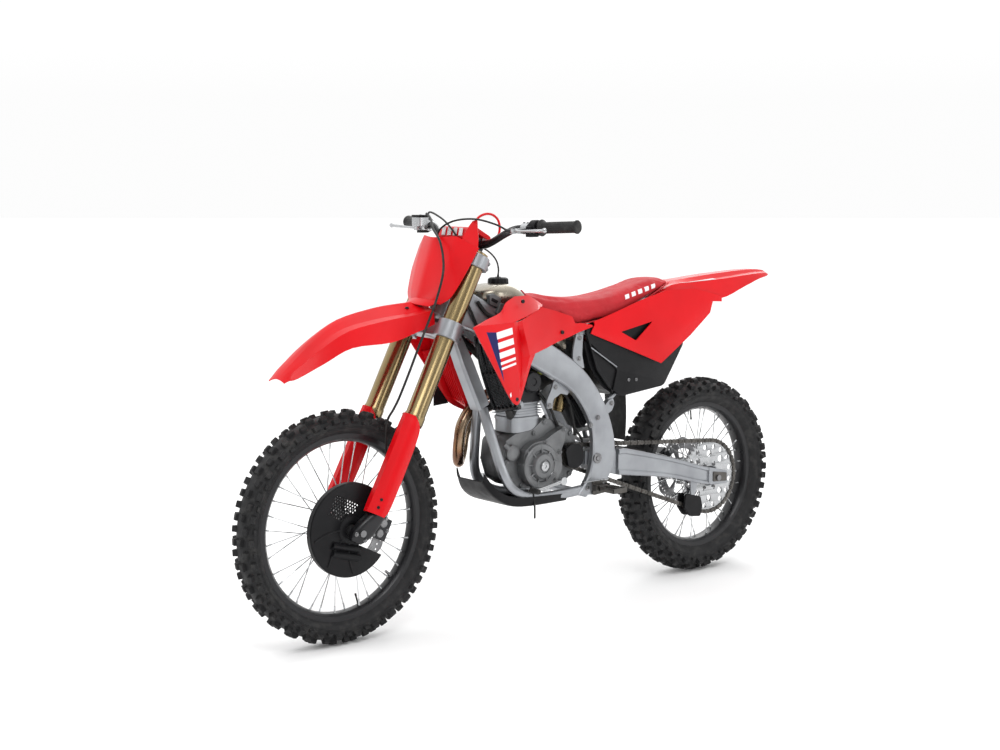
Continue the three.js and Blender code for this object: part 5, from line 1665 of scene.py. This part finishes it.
def chassis_frame():
    spar = beam(SPAR_SECTIONS, recess=1.4, lip=0.12)
    head = in_fork(stepped_rod((0, 0, 1042), (0, 0, 1), [(0, 33), (2, 38), (16, 38), (18, 35), (150, 35),
                                                         (152, 38), (165, 38), (167, 33)], 48))
    down = []
    for point in smooth_line([(-338, 26, 930), (-300, 26, 856), (-268, 26, 790), (-236, 27, 720),
                              (-206, 27, 655)], 4):
        deep = 14 + 10 * min(1, (930 - point.z) / 140)
        lean = Vector((0.9, 0, 0.44)) * deep
        centre = Vector((point.x, 0, point.z))
        ring = []
        for a, b in ((-1, -0.7), (-0.7, -1), (0.7, -1), (1, -0.7), (1, 0.7), (0.7, 1), (-0.7, 1),
                     (-1, 0.7)):
            ring.append(centre + lean * a + Vector((0, point.y * b, 0)))
        down.append(ring)
    rail = [(-205, -12, 650), (-192, -40, 560), (-170, -72, 448), (-134, -79, 394), (-60, -82, 362),
            (60, -86, 360), (160, -96, 368)]
    line = smooth_line(rail, 8)
    cradle = []
    for i, point in enumerate(line):
        ahead = (line[min(i + 1, len(line) - 1)] - line[max(i - 1, 0)]).normalized()
        side = ahead.cross(Vector((0.3, 1, 0))).normalized()
        up = side.cross(ahead).normalized()
        ring = []
        for k in range(16):
            turn = TAU * k / 16
            c, s = math.cos(turn), math.sin(turn)
            ring.append(point + side * (15 * math.copysign(abs(c) ** 0.6, c))
                        + up * (13 * math.copysign(abs(s) ** 0.6, s)))
        cradle.append(ring)
    rails = between_rings(cradle)
    ears = prism(rounded([(115, 716), (186, 716), (180, 762), (122, 762)], 8), -38, -30)
    cross = rod((122, -95, 725), (122, 95, 725), 14)
    low_cross = rod((150, -98, 352), (150, 98, 352), 12)
    foot = merge(spar, rails, ears)
    piece("main_frame", merge(foot, mirrored(foot), head, between_rings(down), cross, low_cross), alloy,
          "chassis", replaces="main_frame", slot="frame_alloy", bevel=1.2, sharp=28)
    hanger = [(22, 742), (89, 700), (73, 676), (46, 684), (14, 668), (9, 640), (-12, 640), (-12, 668),
              (4, 696)]
    pair("engine_hanger", prism(rounded(hanger, 5), -95, -88), alloy, bevel=1.2)
    bracket = [(106, 868), (136, 866), (132, 802), (142, 757), (112, 762), (92, 792), (94, 822)]
    pair("subframe_bracket", prism(rounded(bracket, 5), -98, -91), alloy, bevel=1.2)
    lug = [(232, 622), (256, 646), (274, 650), (280, 632), (270, 610), (244, 596)]
    pair("subframe_lug", prism(rounded(lug, 5), -92, -72), alloy, bevel=1.2)
    bolts = [(22, 706, -95.5), (-3, 650, -95.5), (120, 855, -98.5), (118, 790, -98.5), (266, 634, -92.5),
             (186, 597, -115.5), (156, 575, -114.5), (214, 380, -112), (146, 372, -109)]
    heads = [bolt((x, y, z), (0, -1, 0), 6.2, 5) for x, z, y in bolts]
    pair("frame_bolts", merge(*heads), steel)
    pivot = merge(
        stepped_rod((185, -112, 465), (0, -1, 0), [(0, 17), (5, 17), (6, 15), (6, 9), (3, 8)], 32),
        bolt((185, -114, 465), (0, -1, 0), 8, 6, washer=False),
    )
    pair("swingarm_pivot_bolt", pivot, steel)
    beads = []
    for index in (1, 9):
        xo, zo, xi, zi, out, inn = SPAR_SECTIONS[index]
        seam = [Vector((xo, -inn, zo)), Vector((xo + 1, -out + 2, zo)),
                Vector(((xo + xi) / 2, -out - 0.6, (zo + zi) / 2)), Vector((xi, -out + 2, zi)),
                Vector((xi, -inn, zi))]
        beads.append(tube(seam, lambda t: 2.2 + 0.7 * math.sin(t * 110), 8, 14))
    pair("frame_welds", merge(*beads), polished)
    tubes = []
    for side in (-1, 1):
        tubes.append(tube([(112, side * 80, 866), (300, side * 80, 892), (480, side * 76, 944),
                           (676, side * 50, 968)], 10, 16))
        tubes.append(tube([(262, side * 77, 640), (420, side * 77, 770), (560, side * 70, 880),
                           (640, side * 54, 962)], 9, 16))
    tubes += [rod((660, -54, 966), (660, 54, 966), 9), rod((300, -80, 892), (300, 80, 892), 9)]
    piece("subframe", merge(*tubes), alloy, "chassis", replaces="subframe", slot="frame_alloy")


# ---------------------------------------------------------------- swingarm, shock and chain
SWINGARM_SECTIONS = (
    (286, 484, 286, 398, 111, 80), (330, 480, 330, 392, 112, 84), (520, 432, 520, 362, 112, 86),
    (700, 378, 700, 318, 112, 88), (790, 356, 790, 312, 112, 92),
)
YOKE_SECTIONS = (
    (158, 488, 158, 442, 88, 52), (214, 490, 214, 428, 88, 52), (280, 482, 280, 400, 90, 52),
    (300, 474, 300, 400, 106, 52),
    (335, 462, 335, 398, 106, 52),
)
SHOCK_TOP, SHOCK_FOOT = Vector((168, 0, 748)), Vector((272, 0, 400))


def along_shock(share):
    return SHOCK_TOP.lerp(SHOCK_FOOT, share)


def turned_on_shock(sizes, segments=40):
    """A turned part on the shock's axis: sizes lists (share of its length, radius)."""
    whole = SHOCK_FOOT - SHOCK_TOP
    return stepped_rod(SHOCK_TOP, whole, [(share * whole.length, r) for share, r in sizes], segments)


def swingarm():
    arm = merge(beam(SWINGARM_SECTIONS, steps=5, recess=4.5, lip=0.17, chamfer=3),
                beam(YOKE_SECTIONS, steps=4, recess=0, chamfer=4))
    block = prism(rounded([(706, 378), (796, 357), (796, 313), (706, 318)], 6), 86, 114)
    parts = [arm, mirrored(arm), block, mirrored(block), rod((185, -88, 465), (185, 88, 465), 22, 32),
             box(316, 342, -60, 60, 402, 458)]
    piece("swingarm", merge(*parts), alloy, "rear_arm", replaces="swingarm", slot="frame_alloy",
          bevel=1.5, sharp=30)
    plate = prism(rounded([(724, 361), (790, 351), (790, 322), (724, 326)], 4), -117, -113)
    adjust = merge(
        rod((772, -100, 334), (806, -100, 333), 4, 12),
        bolt((792, -100, 333.5), (1, 0, 0), 8, 6, washer=False),
    )
    pair("axle_block", plate, dark_steel, "rear_arm", bevel=1)
    pair("chain_adjuster", adjust, steel, "rear_arm")
    slider = [(238, 494), (330, 484), (430, 460), (430, 452), (330, 476), (238, 484)]
    guard = prism(slider, -84, -56)
    piece("chain_slider", guard, rubber, "rear_arm", bevel=2)
    guide = [(620, 292), (690, 276), (700, 240), (690, 206), (640, 212), (612, 246)]
    inner = [(632, 280), (664, 272), (666, 265), (634, 272)]
    shape = merge(prism(rounded(guide, 8), -90, -82), prism(rounded(guide, 8), -58, -50),
                  prism(rounded(inner, 3), -84, -56))
    piece("chain_guide", shape, black_plastic, "rear_arm", bevel=1.5)
    bracket = prism(rounded([(640, 340), (676, 330), (664, 284), (646, 284)], 5), -88, -84)
    piece("chain_guide_bracket", bracket, alloy, "rear_arm")
    caliper = merge(
        prism(rounded([(618, 398), (672, 432), (694, 404), (640, 368)], 10), 66, 84),
        prism(rounded([(622, 396), (668, 424), (684, 404), (640, 374)], 8), 44, 56),
        prism(rounded([(612, 392), (660, 424), (654, 432), (606, 402)], 4), 48, 82),
    )
    piece("rear_caliper", caliper, black_metal, "rear_arm", bevel=2)
    line = [(630, 84, 404), (560, 96, 442), (420, 100, 474), (300, 104, 492), (220, 104, 470),
            (186, 112, 400), (178, 120, 346)]
    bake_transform(piece("rear_brake_line", tube(line, 3.2, 10), rubber, None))


def shock():
    body = turned_on_shock([(0.0, 16), (0.03, 18), (0.03, 27), (0.12, 27), (0.12, 38), (0.14, 38),
                            (0.14, 24), (0.42, 23), (0.42, 10)])
    eye = rod(along_shock(0) + Vector((0, -24, 0)), along_shock(0) + Vector((0, 24, 0)), 17)
    reservoir = stepped_rod((110, -34, 704), (-0.28, 0, -0.96),
                            [(0, 14), (3, 19), (82, 19), (84, 17), (90, 17)], 32)
    neck = rod(along_shock(0.06), (108, -34, 690), 12)
    piece("shock_body", merge(body, eye, reservoir, neck), gold, "chassis", replaces="shock_body",
          slot="cast_alloy")
    whole = SHOCK_FOOT - SHOCK_TOP
    side, up = frame_along(whole.normalized())
    turns, wire = 7, []
    for k in range(turns * 20 + 1):
        share = 0.155 + (0.885 - 0.155) * k / (turns * 20)
        angle = TAU * k / 20
        wire.append(along_shock(share) + side * (33.4 * math.cos(angle)) + up * (33.4 * math.sin(angle)))
    spring = piece("shock_spring", tube(wire, 6, 10, smooth=False), white_plastic, None,
                   replaces="shock_spring", slot="spring_steel")
    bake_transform(spring)
    rod_shape = merge(
        turned_on_shock([(0.41, 8), (0.9, 8), (0.9, 39), (0.935, 39), (0.935, 20), (0.97, 20)]),
        rod(along_shock(0.97) + Vector((0, -18, 0)), along_shock(0.97) + Vector((0, 18, 0)), 17),
    )
    piece("shock_shaft", rod_shape, steel, "shock_rod", replaces="shock_shaft", slot="steel")


def chain_line():
    """Points along the chain's pitch line, in x and z."""
    small, large = (CHAIN["pitch"] / 2 / math.sin(math.pi / CHAIN[key]) for key in ("drive", "wheel"))
    between = REAR_AXLE - COUNTERSHAFT
    tilt = math.atan2(between.z, between.x)
    open_angle = math.acos((large - small) / math.hypot(between.x, between.z))
    line = []
    for centre, radius, start, stop in (
        (REAR_AXLE, large, tilt + math.pi - open_angle, tilt - math.pi + open_angle),
        (COUNTERSHAFT, small, tilt - math.pi + open_angle, tilt - math.pi - open_angle),
    ):
        for k in range(41):
            turn = start + (stop - start) * k / 40
            line.append(Vector((centre.x + radius * math.cos(turn), centre.z + radius * math.sin(turn))))
    return line


def chain():
    line = chain_line()
    line.append(line[0])
    steps = [(b - a).length for a, b in zip(line, line[1:])]
    count = 2 * round(sum(steps) / CHAIN["pitch"] / 2)
    pitch = sum(steps) / count
    joints, travelled, k = [], 0.0, 0
    for i in range(count):
        while travelled + steps[k] < i * pitch:
            travelled += steps[k]
            k += 1
        joints.append(line[k].lerp(line[k + 1], (i * pitch - travelled) / steps[k]))
    parts = []
    for i in range(count):
        a, b = joints[i], joints[(i + 1) % count]
        along = (b - a).normalized()
        normal = Vector((-along.y, along.x))
        outline = []
        for centre, first in ((b, -90), (a, 90)):
            for step in range(5):
                turn = math.radians(first + 45 * step)
                outline.append(tuple(centre + (along * math.cos(turn) + normal * math.sin(turn)) * 7.2))
            outline.append(tuple((a + b) / 2 + normal * (5.2 if first < 0 else -5.2)))
        shift = 0 if i % 2 else 2.3
        for y0, y1 in ((-74.6 - shift, -72.6 - shift), (-67.4 + shift, -65.4 + shift)):
            parts.append(prism(outline, y0, y1))
        parts.append(rod((a.x, -72, a.y), (a.x, -68, a.y), 5.1, 12))
        parts.append(rod((a.x, -78.2, a.y), (a.x, -61.8, a.y), 2.6, 10))
    made = piece("chain", merge(*parts), dark_steel, None, replaces="chain", slot="steel", sharp=40)
    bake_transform(made)


# ---------------------------------------------------------------- engine
def ring_of_bolts(centre, radius, y, count, size=4.6, start=0.0):
    heads = []
    for k in range(count):
        turn = start + TAU * k / count
        at = (centre[0] + radius * math.cos(turn), y, centre[1] + radius * math.sin(turn))
        heads.append(bolt(at, (0, math.copysign(1, y), 0), size, 4.5))
    return heads


def turned_cover(centre, sizes, segments=56):
    """A cover turned about a line along Y: sizes lists (y, radius)."""
    side = math.copysign(1, sizes[-1][0])
    return stepped_rod((centre[0], 0, centre[1]), (0, side, 0), [(abs(y), r) for y, r in sizes], segments)


def crankcase():
    case = [(-152, 545), (-160, 480), (-140, 420), (-95, 392), (-10, 382), (80, 386), (124, 410),
            (146, 446), (150, 500), (128, 552), (70, 592), (10, 604), (-40, 572), (-110, 566)]
    halves = [prism(rounded(case, 12, 3), -57, -2), prism(rounded(case, 12, 3), 2, 57),
              prism(rounded(case, 14, 3), -3, 3)]
    piece("crankcase", merge(*halves), cast, "chassis", replaces="crankcase", slot="cast_alloy", bevel=2)
    mid = Vector((0, 490))
    rim = []
    for x, z in case[1:13]:
        corner = Vector((x, z))
        at = corner + (mid - corner).normalized() * 12
        rim.append(stepped_rod((at.x, -56, at.y), (0, -1, 0), [(0, 8), (6, 8), (7, 7)], 16))
        rim.append(bolt((at.x, -62.5, at.y), (0, -1, 0), 4.6, 4.5))
    pair("crankcase_bolts", merge(*rim), cast)


def ignition_side():
    lobe = [(-104, 470), (-96, 424), (-62, 396), (-10, 388), (34, 402), (62, 440), (56, 500), (76, 540),
            (70, 574), (28, 560), (-10, 540), (-60, 536), (-94, 512)]
    magneto = merge(
        prism(rounded(lobe, 14, 4), -86, -57.5),
        turned_cover((-34, 462), [(-80, 70), (-94, 70), (-98, 66), (-98, 52), (-94, 49), (-94, 44),
                                  (-100, 42), (-110, 38), (-112, 34),
                                  (-112, 22), (-108, 20), (-108, 0.5)]),
    )
    ribs = []
    for k in range(9):
        turn = TAU * (k + 0.3) / 9
        c, s = math.cos(turn), math.sin(turn)
        ribs.append(rod((-34 + 38 * c, -99, 462 + 38 * s), (-34 + 66 * c, -96, 462 + 66 * s), 3.4, 8, 2.6))
    piece("ignition_cover", merge(magneto, *ribs), cast, "chassis", replaces="ignition_cover",
          slot="cast_alloy", bevel=2, sharp=40)
    middle = Vector((-20, 472))
    heads = []
    for x, z in lobe[::2] + [(56, 500)]:
        corner = Vector((x, z))
        at = corner + (middle - corner).normalized() * 8
        heads.append(stepped_rod((at.x, -60, at.y), (0, -1, 0), [(0, 8.5), (28, 8.5), (29, 7.5)], 16))
        heads.append(bolt((at.x, -89.5, at.y), (0, -1, 0), 4.8, 5))
    piece("ignition_cover_bolts", merge(*heads), cast, "chassis")
    plugs = merge(
        stepped_rod((-34, -108, 462), (0, -1, 0), [(0, 15), (5, 15), (6, 13), (6, 6), (3, 5.5)], 32),
        stepped_rod((-2, -97, 438), (0, -1, 0), [(0, 7), (5, 7), (6, 6), (6, 3), (3, 2.5)], 20),
    )
    piece("timing_plugs", plugs, polished, "chassis")


def clutch_side():
    clutch = merge(
        turned_cover((40, 486), [(57.5, 78), (90, 78), (96, 73), (96, 62), (98, 60), (110, 58), (112, 52),
                                 (112, 20), (109, 18), (109, 0.5)]),
        turned_cover((-70, 462), [(57.5, 52), (84, 52), (90, 46), (90, 20), (88, 18), (88, 0.5)]),
    )
    piece("clutch_cover", clutch, cast, "chassis", replaces="clutch_cover", slot="cast_alloy", sharp=40)
    piece("clutch_cover_bolts", merge(*ring_of_bolts((40, 486), 69, 96, 8),
                                      *ring_of_bolts((-70, 462), 44, 90, 6)), steel, "chassis")
    sprocket_cover = merge(
        prism(rounded([(66, 500), (92, 520), (128, 516), (146, 486), (140, 452), (112, 436), (80, 444)],
                      10), -96, -90),
        rod((80, -90, 506), (80, -57, 506), 7, 12), rod((126, -90, 446), (126, -57, 446), 7, 12),
    )
    piece("sprocket_cover", sprocket_cover, black_plastic, "chassis", bevel=1.5)


def cylinder_and_head():
    jug = between_rings([loop((-57, 0), hx, hy, z, 0.45, 44) for hx, hy, z in (
        (61, 56, 604.4), (61, 56, 614), (57, 52, 617), (56, 51, 640), (57, 52, 652), (61, 56, 655),
        (61, 56, 660))])
    waist = merge(*[box(-116, 2, -54.5, 54.5, z, z + 2.2) for z in (622, 630, 638, 646)])
    foot = between_rings([loop((-57, 0), 60, 55, z, 0.5, 44) for z in (567, 604)])
    piece("cylinder", merge(jug, foot, waist), alloy, "chassis", replaces="cylinder", slot="cast_alloy",
          sharp=40)
    head = merge(
        between_rings([loop((-58, 0), hx, hy, z, 0.4, 44) for hx, hy, z in (
            (64, 61, 660.4), (64, 61, 676), (60, 58, 680), (61, 59, 724), (64, 62, 728), (64, 62, 742))]),
        prism(rounded([(-112, 742), (-100, 776), (-16, 784), (0, 742)], 12), -58, 58),
    )
    piece("cylinder_head", head, black_metal, "chassis", replaces="cylinder_head", slot="cast_alloy",
          bevel=2.5, sharp=40)
    side_cover = stepped_rod((-50, -56, 726), (0, -1, 0), [(0, 34), (14, 34), (20, 29), (20, 12),
                                                           (17, 10)], 40)
    piece("cam_end_cover", side_cover, black_metal, "chassis")
    places = ((-108, 690), (-8, 690), (-108, 716), (-30, 700))
    heads = [bolt((x, -62, z), (0, -1, 0), 5, 5) for x, z in places]
    piece("head_bolts", merge(*heads), steel, "chassis")
    plug = merge(stepped_rod((-12, -62, 760), (0, -1, 0), [(0, 13), (10, 13), (12, 11)], 24),
                 bolt((-12, -73, 760), (0, -1, 0), 8, 6))
    piece("cam_chain_plug", plug, brass, "chassis")


def starter_and_intake():
    lean = math.radians(-33)
    centre = Vector((142, -44, 618))
    sections = ((20, 24, -58), (26, 30, -52), (26, 30, 52), (20, 24, 58))
    canister = between_rings([loop((0, 0), hx, hy, z, 0.5, 24) for hx, hy, z in sections])
    parts = [moved(turned(canister, "Y", lean), centre)]
    for k in range(7):
        rib = between_rings([loop((-24 + 8 * k, 0), 1.6, 33, z, 0.8, 12) for z in (-46, 46)])
        parts.append(moved(turned(rib, "Y", lean), centre))
    piece("starter_cover", merge(*parts), black_plastic, "chassis", sharp=40)
    boot = tube([(-2, 0, 704), (30, 0, 716), (70, 0, 736), (120, 0, 752), (152, 0, 758)],
                lambda t: 30 + 5 * math.sin(t * 9) ** 2, 28, 8)
    piece("intake_boot", boot, rubber, "chassis")
    pump = merge(stepped_rod((-128, -56, 508), (0, -1, 0), [(0, 26), (14, 26), (20, 20), (22, 10)], 32),
                 rod((-128, -66, 508), (-160, -62, 540), 9, 16))
    piece("oil_pump_cover", pump, cast, "chassis")


def electrics():
    first = [(-230, 1004), (-214, 1010), (-180, 992), (-198, 966), (-226, 976)]
    slot = [(-220, 997), (-196, 986), (-202, 978), (-224, 988)]
    second = [(-190, 982), (-142, 956), (-182, 930), (-206, 950)]
    boxes = merge(prism(rounded(first, 5), -78, -62), prism(rounded(second, 5), -84, -62))
    piece("electrics_boxes", boxes, cast, "chassis", bevel=1.5)
    piece("electrics_slot", prism(rounded(slot, 2), -79, -76), black_plastic, "chassis")
    loom = [
        tube([(-262, -60, 985), (-236, -70, 950), (-206, -86, 930), (-180, -100, 900), (-164, -104, 860)],
             6, 10),
        tube([(-300, -40, 1000), (-286, -56, 960), (-262, -62, 900), (-246, -60, 850)], 4.5, 10),
        tube([(60, -60, 700), (96, -70, 660), (120, -72, 580), (132, -64, 540)], 5, 10),
        tube([(-20, -64, 690), (20, -70, 640), (44, -66, 600), (66, -62, 570)], 4.5, 10),
        tube([(130, -66, 560), (158, -70, 520), (152, -66, 470), (120, -60, 430)], 4, 10),
    ]
    piece("wiring", merge(*loom), rubber, "chassis")


def exhaust():
    route = [(-125.5, 20, 690), (-148, 24, 689), (-188, 50, 655), (-236, 50, 600), (-248, 52, 545),
             (-246, 60, 496), (-222, 86, 472), (-190, 112, 500), (-168, 124, 556), (-120, 134, 606),
             (-40, 138, 632), (80, 139, 652), (220, 141, 686), (330, 144, 710)]
    piece("exhaust_header", tube(route, 17.5, 32, 8), hot_pipe, "chassis", replaces="exhaust_header",
          slot="exhaust_metal")
    flange = stepped_rod((-124, 20, 690), (-1, 0, 0), [(0, 27), (6, 27), (7, 22), (12, 21)], 32)
    band = stepped_rod((322, 143.7, 708.6), (0.98, 0.02, 0.2), [(0, 20), (1, 21), (22, 21), (23, 20)], 32)
    piece("exhaust_clamps", merge(flange, band), steel, "chassis")
    axis = Vector((742, 156, 806)) - Vector((331, 146, 711))
    can = [(0.0, 22, 22), (0.08, 26, 26), (0.17, 36, 36), (0.2, 38, 37), (0.86, 54, 54), (0.9, 54, 54)]
    side, up = frame_along(axis.normalized())
    start = Vector((331, 146, 711))

    def rings_of(stations):
        """Squarish sections along the muffler: (share of its length, half width, half height)."""
        rings = []
        for share, rx, ry in stations:
            ring = []
            for k in range(40):
                c, s = math.cos(TAU * k / 40), math.sin(TAU * k / 40)
                wide = rx * math.copysign(abs(c) ** 0.8, c)
                tall = ry * math.copysign(abs(s) ** 0.8, s)
                ring.append(start + axis * share + side * wide + up * tall)
            rings.append(ring)
        return between_rings(rings)

    piece("muffler", rings_of(can), titanium, "chassis", replaces="muffler", slot="titanium", sharp=30)
    piece("muffler_end_cap",
          rings_of([(0.898, 54.6, 54.6), (0.93, 54.6, 54.6), (0.985, 36, 36), (1.0, 33, 33),
                    (1.0, 22, 22), (0.95, 20, 20)]), black_metal, "chassis", sharp=30)
    piece("muffler_bands", merge(rings_of([(0.2, 38.8, 37.8), (0.225, 40.5, 39.5)]),
                                 rings_of([(0.84, 54.8, 54.8), (0.87, 55.2, 55.2)])), steel, "chassis")
    rivets = []
    for k in range(10):
        turn = TAU * k / 10
        at = start + axis * 0.855 + side * (55 * math.cos(turn)) + up * (55 * math.sin(turn))
        rivets.append(stepped_rod(at, side * math.cos(turn) + up * math.sin(turn),
                                  [(-1, 3.2), (1, 3), (2, 1.5)], 10))
    piece("muffler_rivets", merge(*rivets), steel, "chassis")


# ---------------------------------------------------------------- feet
def side_box(x0, x1, side, near, far, z0, z1):
    """A box between two distances from the middle plane, on the side given by -1 or 1."""
    low, high = sorted((side * near, side * far))
    return box(x0, x1, low, high, z0, z1)


def peg_teeth(side):
    corners = ((-1, -1), (1, -1), (1, 1), (-1, 1))
    teeth = []
    for x in (168, 196, 220):
        for k in range(8):
            y = side * (146 + 8 * k)
            teeth.append(between_rings([
                [Vector((x + a * half, y + b * half, z)) for a, b in corners]
                for z, half in ((376, 3), (380, 1.2))
            ]))
    return teeth


def footpegs():
    for name, side, body in (("left", -1, "left_peg"), ("right", 1, "right_peg")):
        rails = [side_box(x, x + 5, side, 142, 210, 364, 378) for x in (168, 193.5, 219)]
        rails += [
            side_box(168, 224, side, 206, 212, 364, 379.5),
            side_box(168, 224, side, 140, 148, 364, 378),
            rod((178, side * 128, 371), (214, side * 128, 371), 9, 24),
            side_box(184, 208, side, 128, 144, 364, 378),
        ]
        piece(f"footpeg_{name}", merge(*rails, *peg_teeth(side)), dark_steel, body,
              replaces=f"footpeg_{name}", slot="steel", sharp=30)
        plate = rounded([(164, 392), (228, 388), (224, 350), (168, 346)], 6)
        mount = merge(
            prism(plate, side * 109, side * 116),
            side_box(166, 174, side, 114, 134, 360, 382),
            side_box(218, 226, side, 114, 134, 360, 382),
        )
        piece(f"footpeg_mount_{name}", mount, dark_steel, "chassis", bevel=1.5)


def foot_levers():
    arm = tube([(30, -122, 410), (-10, -126, 404), (-70, -130, 396), (-108, -136, 398)],
               lambda t: 7.5 - 1.8 * math.sin(math.pi * t), 16)
    boss = rod((30, -113, 410), (30, -130, 410), 13)
    tip = stepped_rod((-108, -130, 398), (0, -1, 0), [(0, 6), (0, 8), (38, 8), (40, 6.5)], 20)
    piece("shift_lever", merge(arm, boss), polished, "shifter", replaces="shift_lever", slot="cast_alloy")
    ribs = [stepped_rod((-108, -136 - 5 * k, 398), (0, -1, 0), [(0, 8), (0.8, 8.8), (2, 8.8), (2.8, 8)],
                        20) for k in range(6)]
    piece("shift_lever_tip", merge(tip, *ribs), rubber, "shifter")
    arm = tube([(176, 125, 330), (130, 130, 342), (90, 132, 352), (0, 140, 384), (-52, 146, 398)],
               lambda t: 8 - 1.5 * math.sin(math.pi * t), 16)
    boss = rod((176, 114, 330), (176, 134, 330), 13)
    pad = [box(-76, -40, 138, 172, 394, 400)]
    for x in (-76, -64, -52, -44):
        pad.append(box(x, x + 4, 138, 172, 400, 407))
    piece("rear_brake_pedal", merge(arm, boss, *pad), polished, "rear_brake", replaces="rear_brake_pedal",
          slot="cast_alloy", bevel=0.8)


chassis_frame()
swingarm()
shock()
chain()
crankcase()
ignition_side()
clutch_side()
cylinder_and_head()
starter_and_intake()
electrics()
exhaust()
footpegs()
foot_levers()
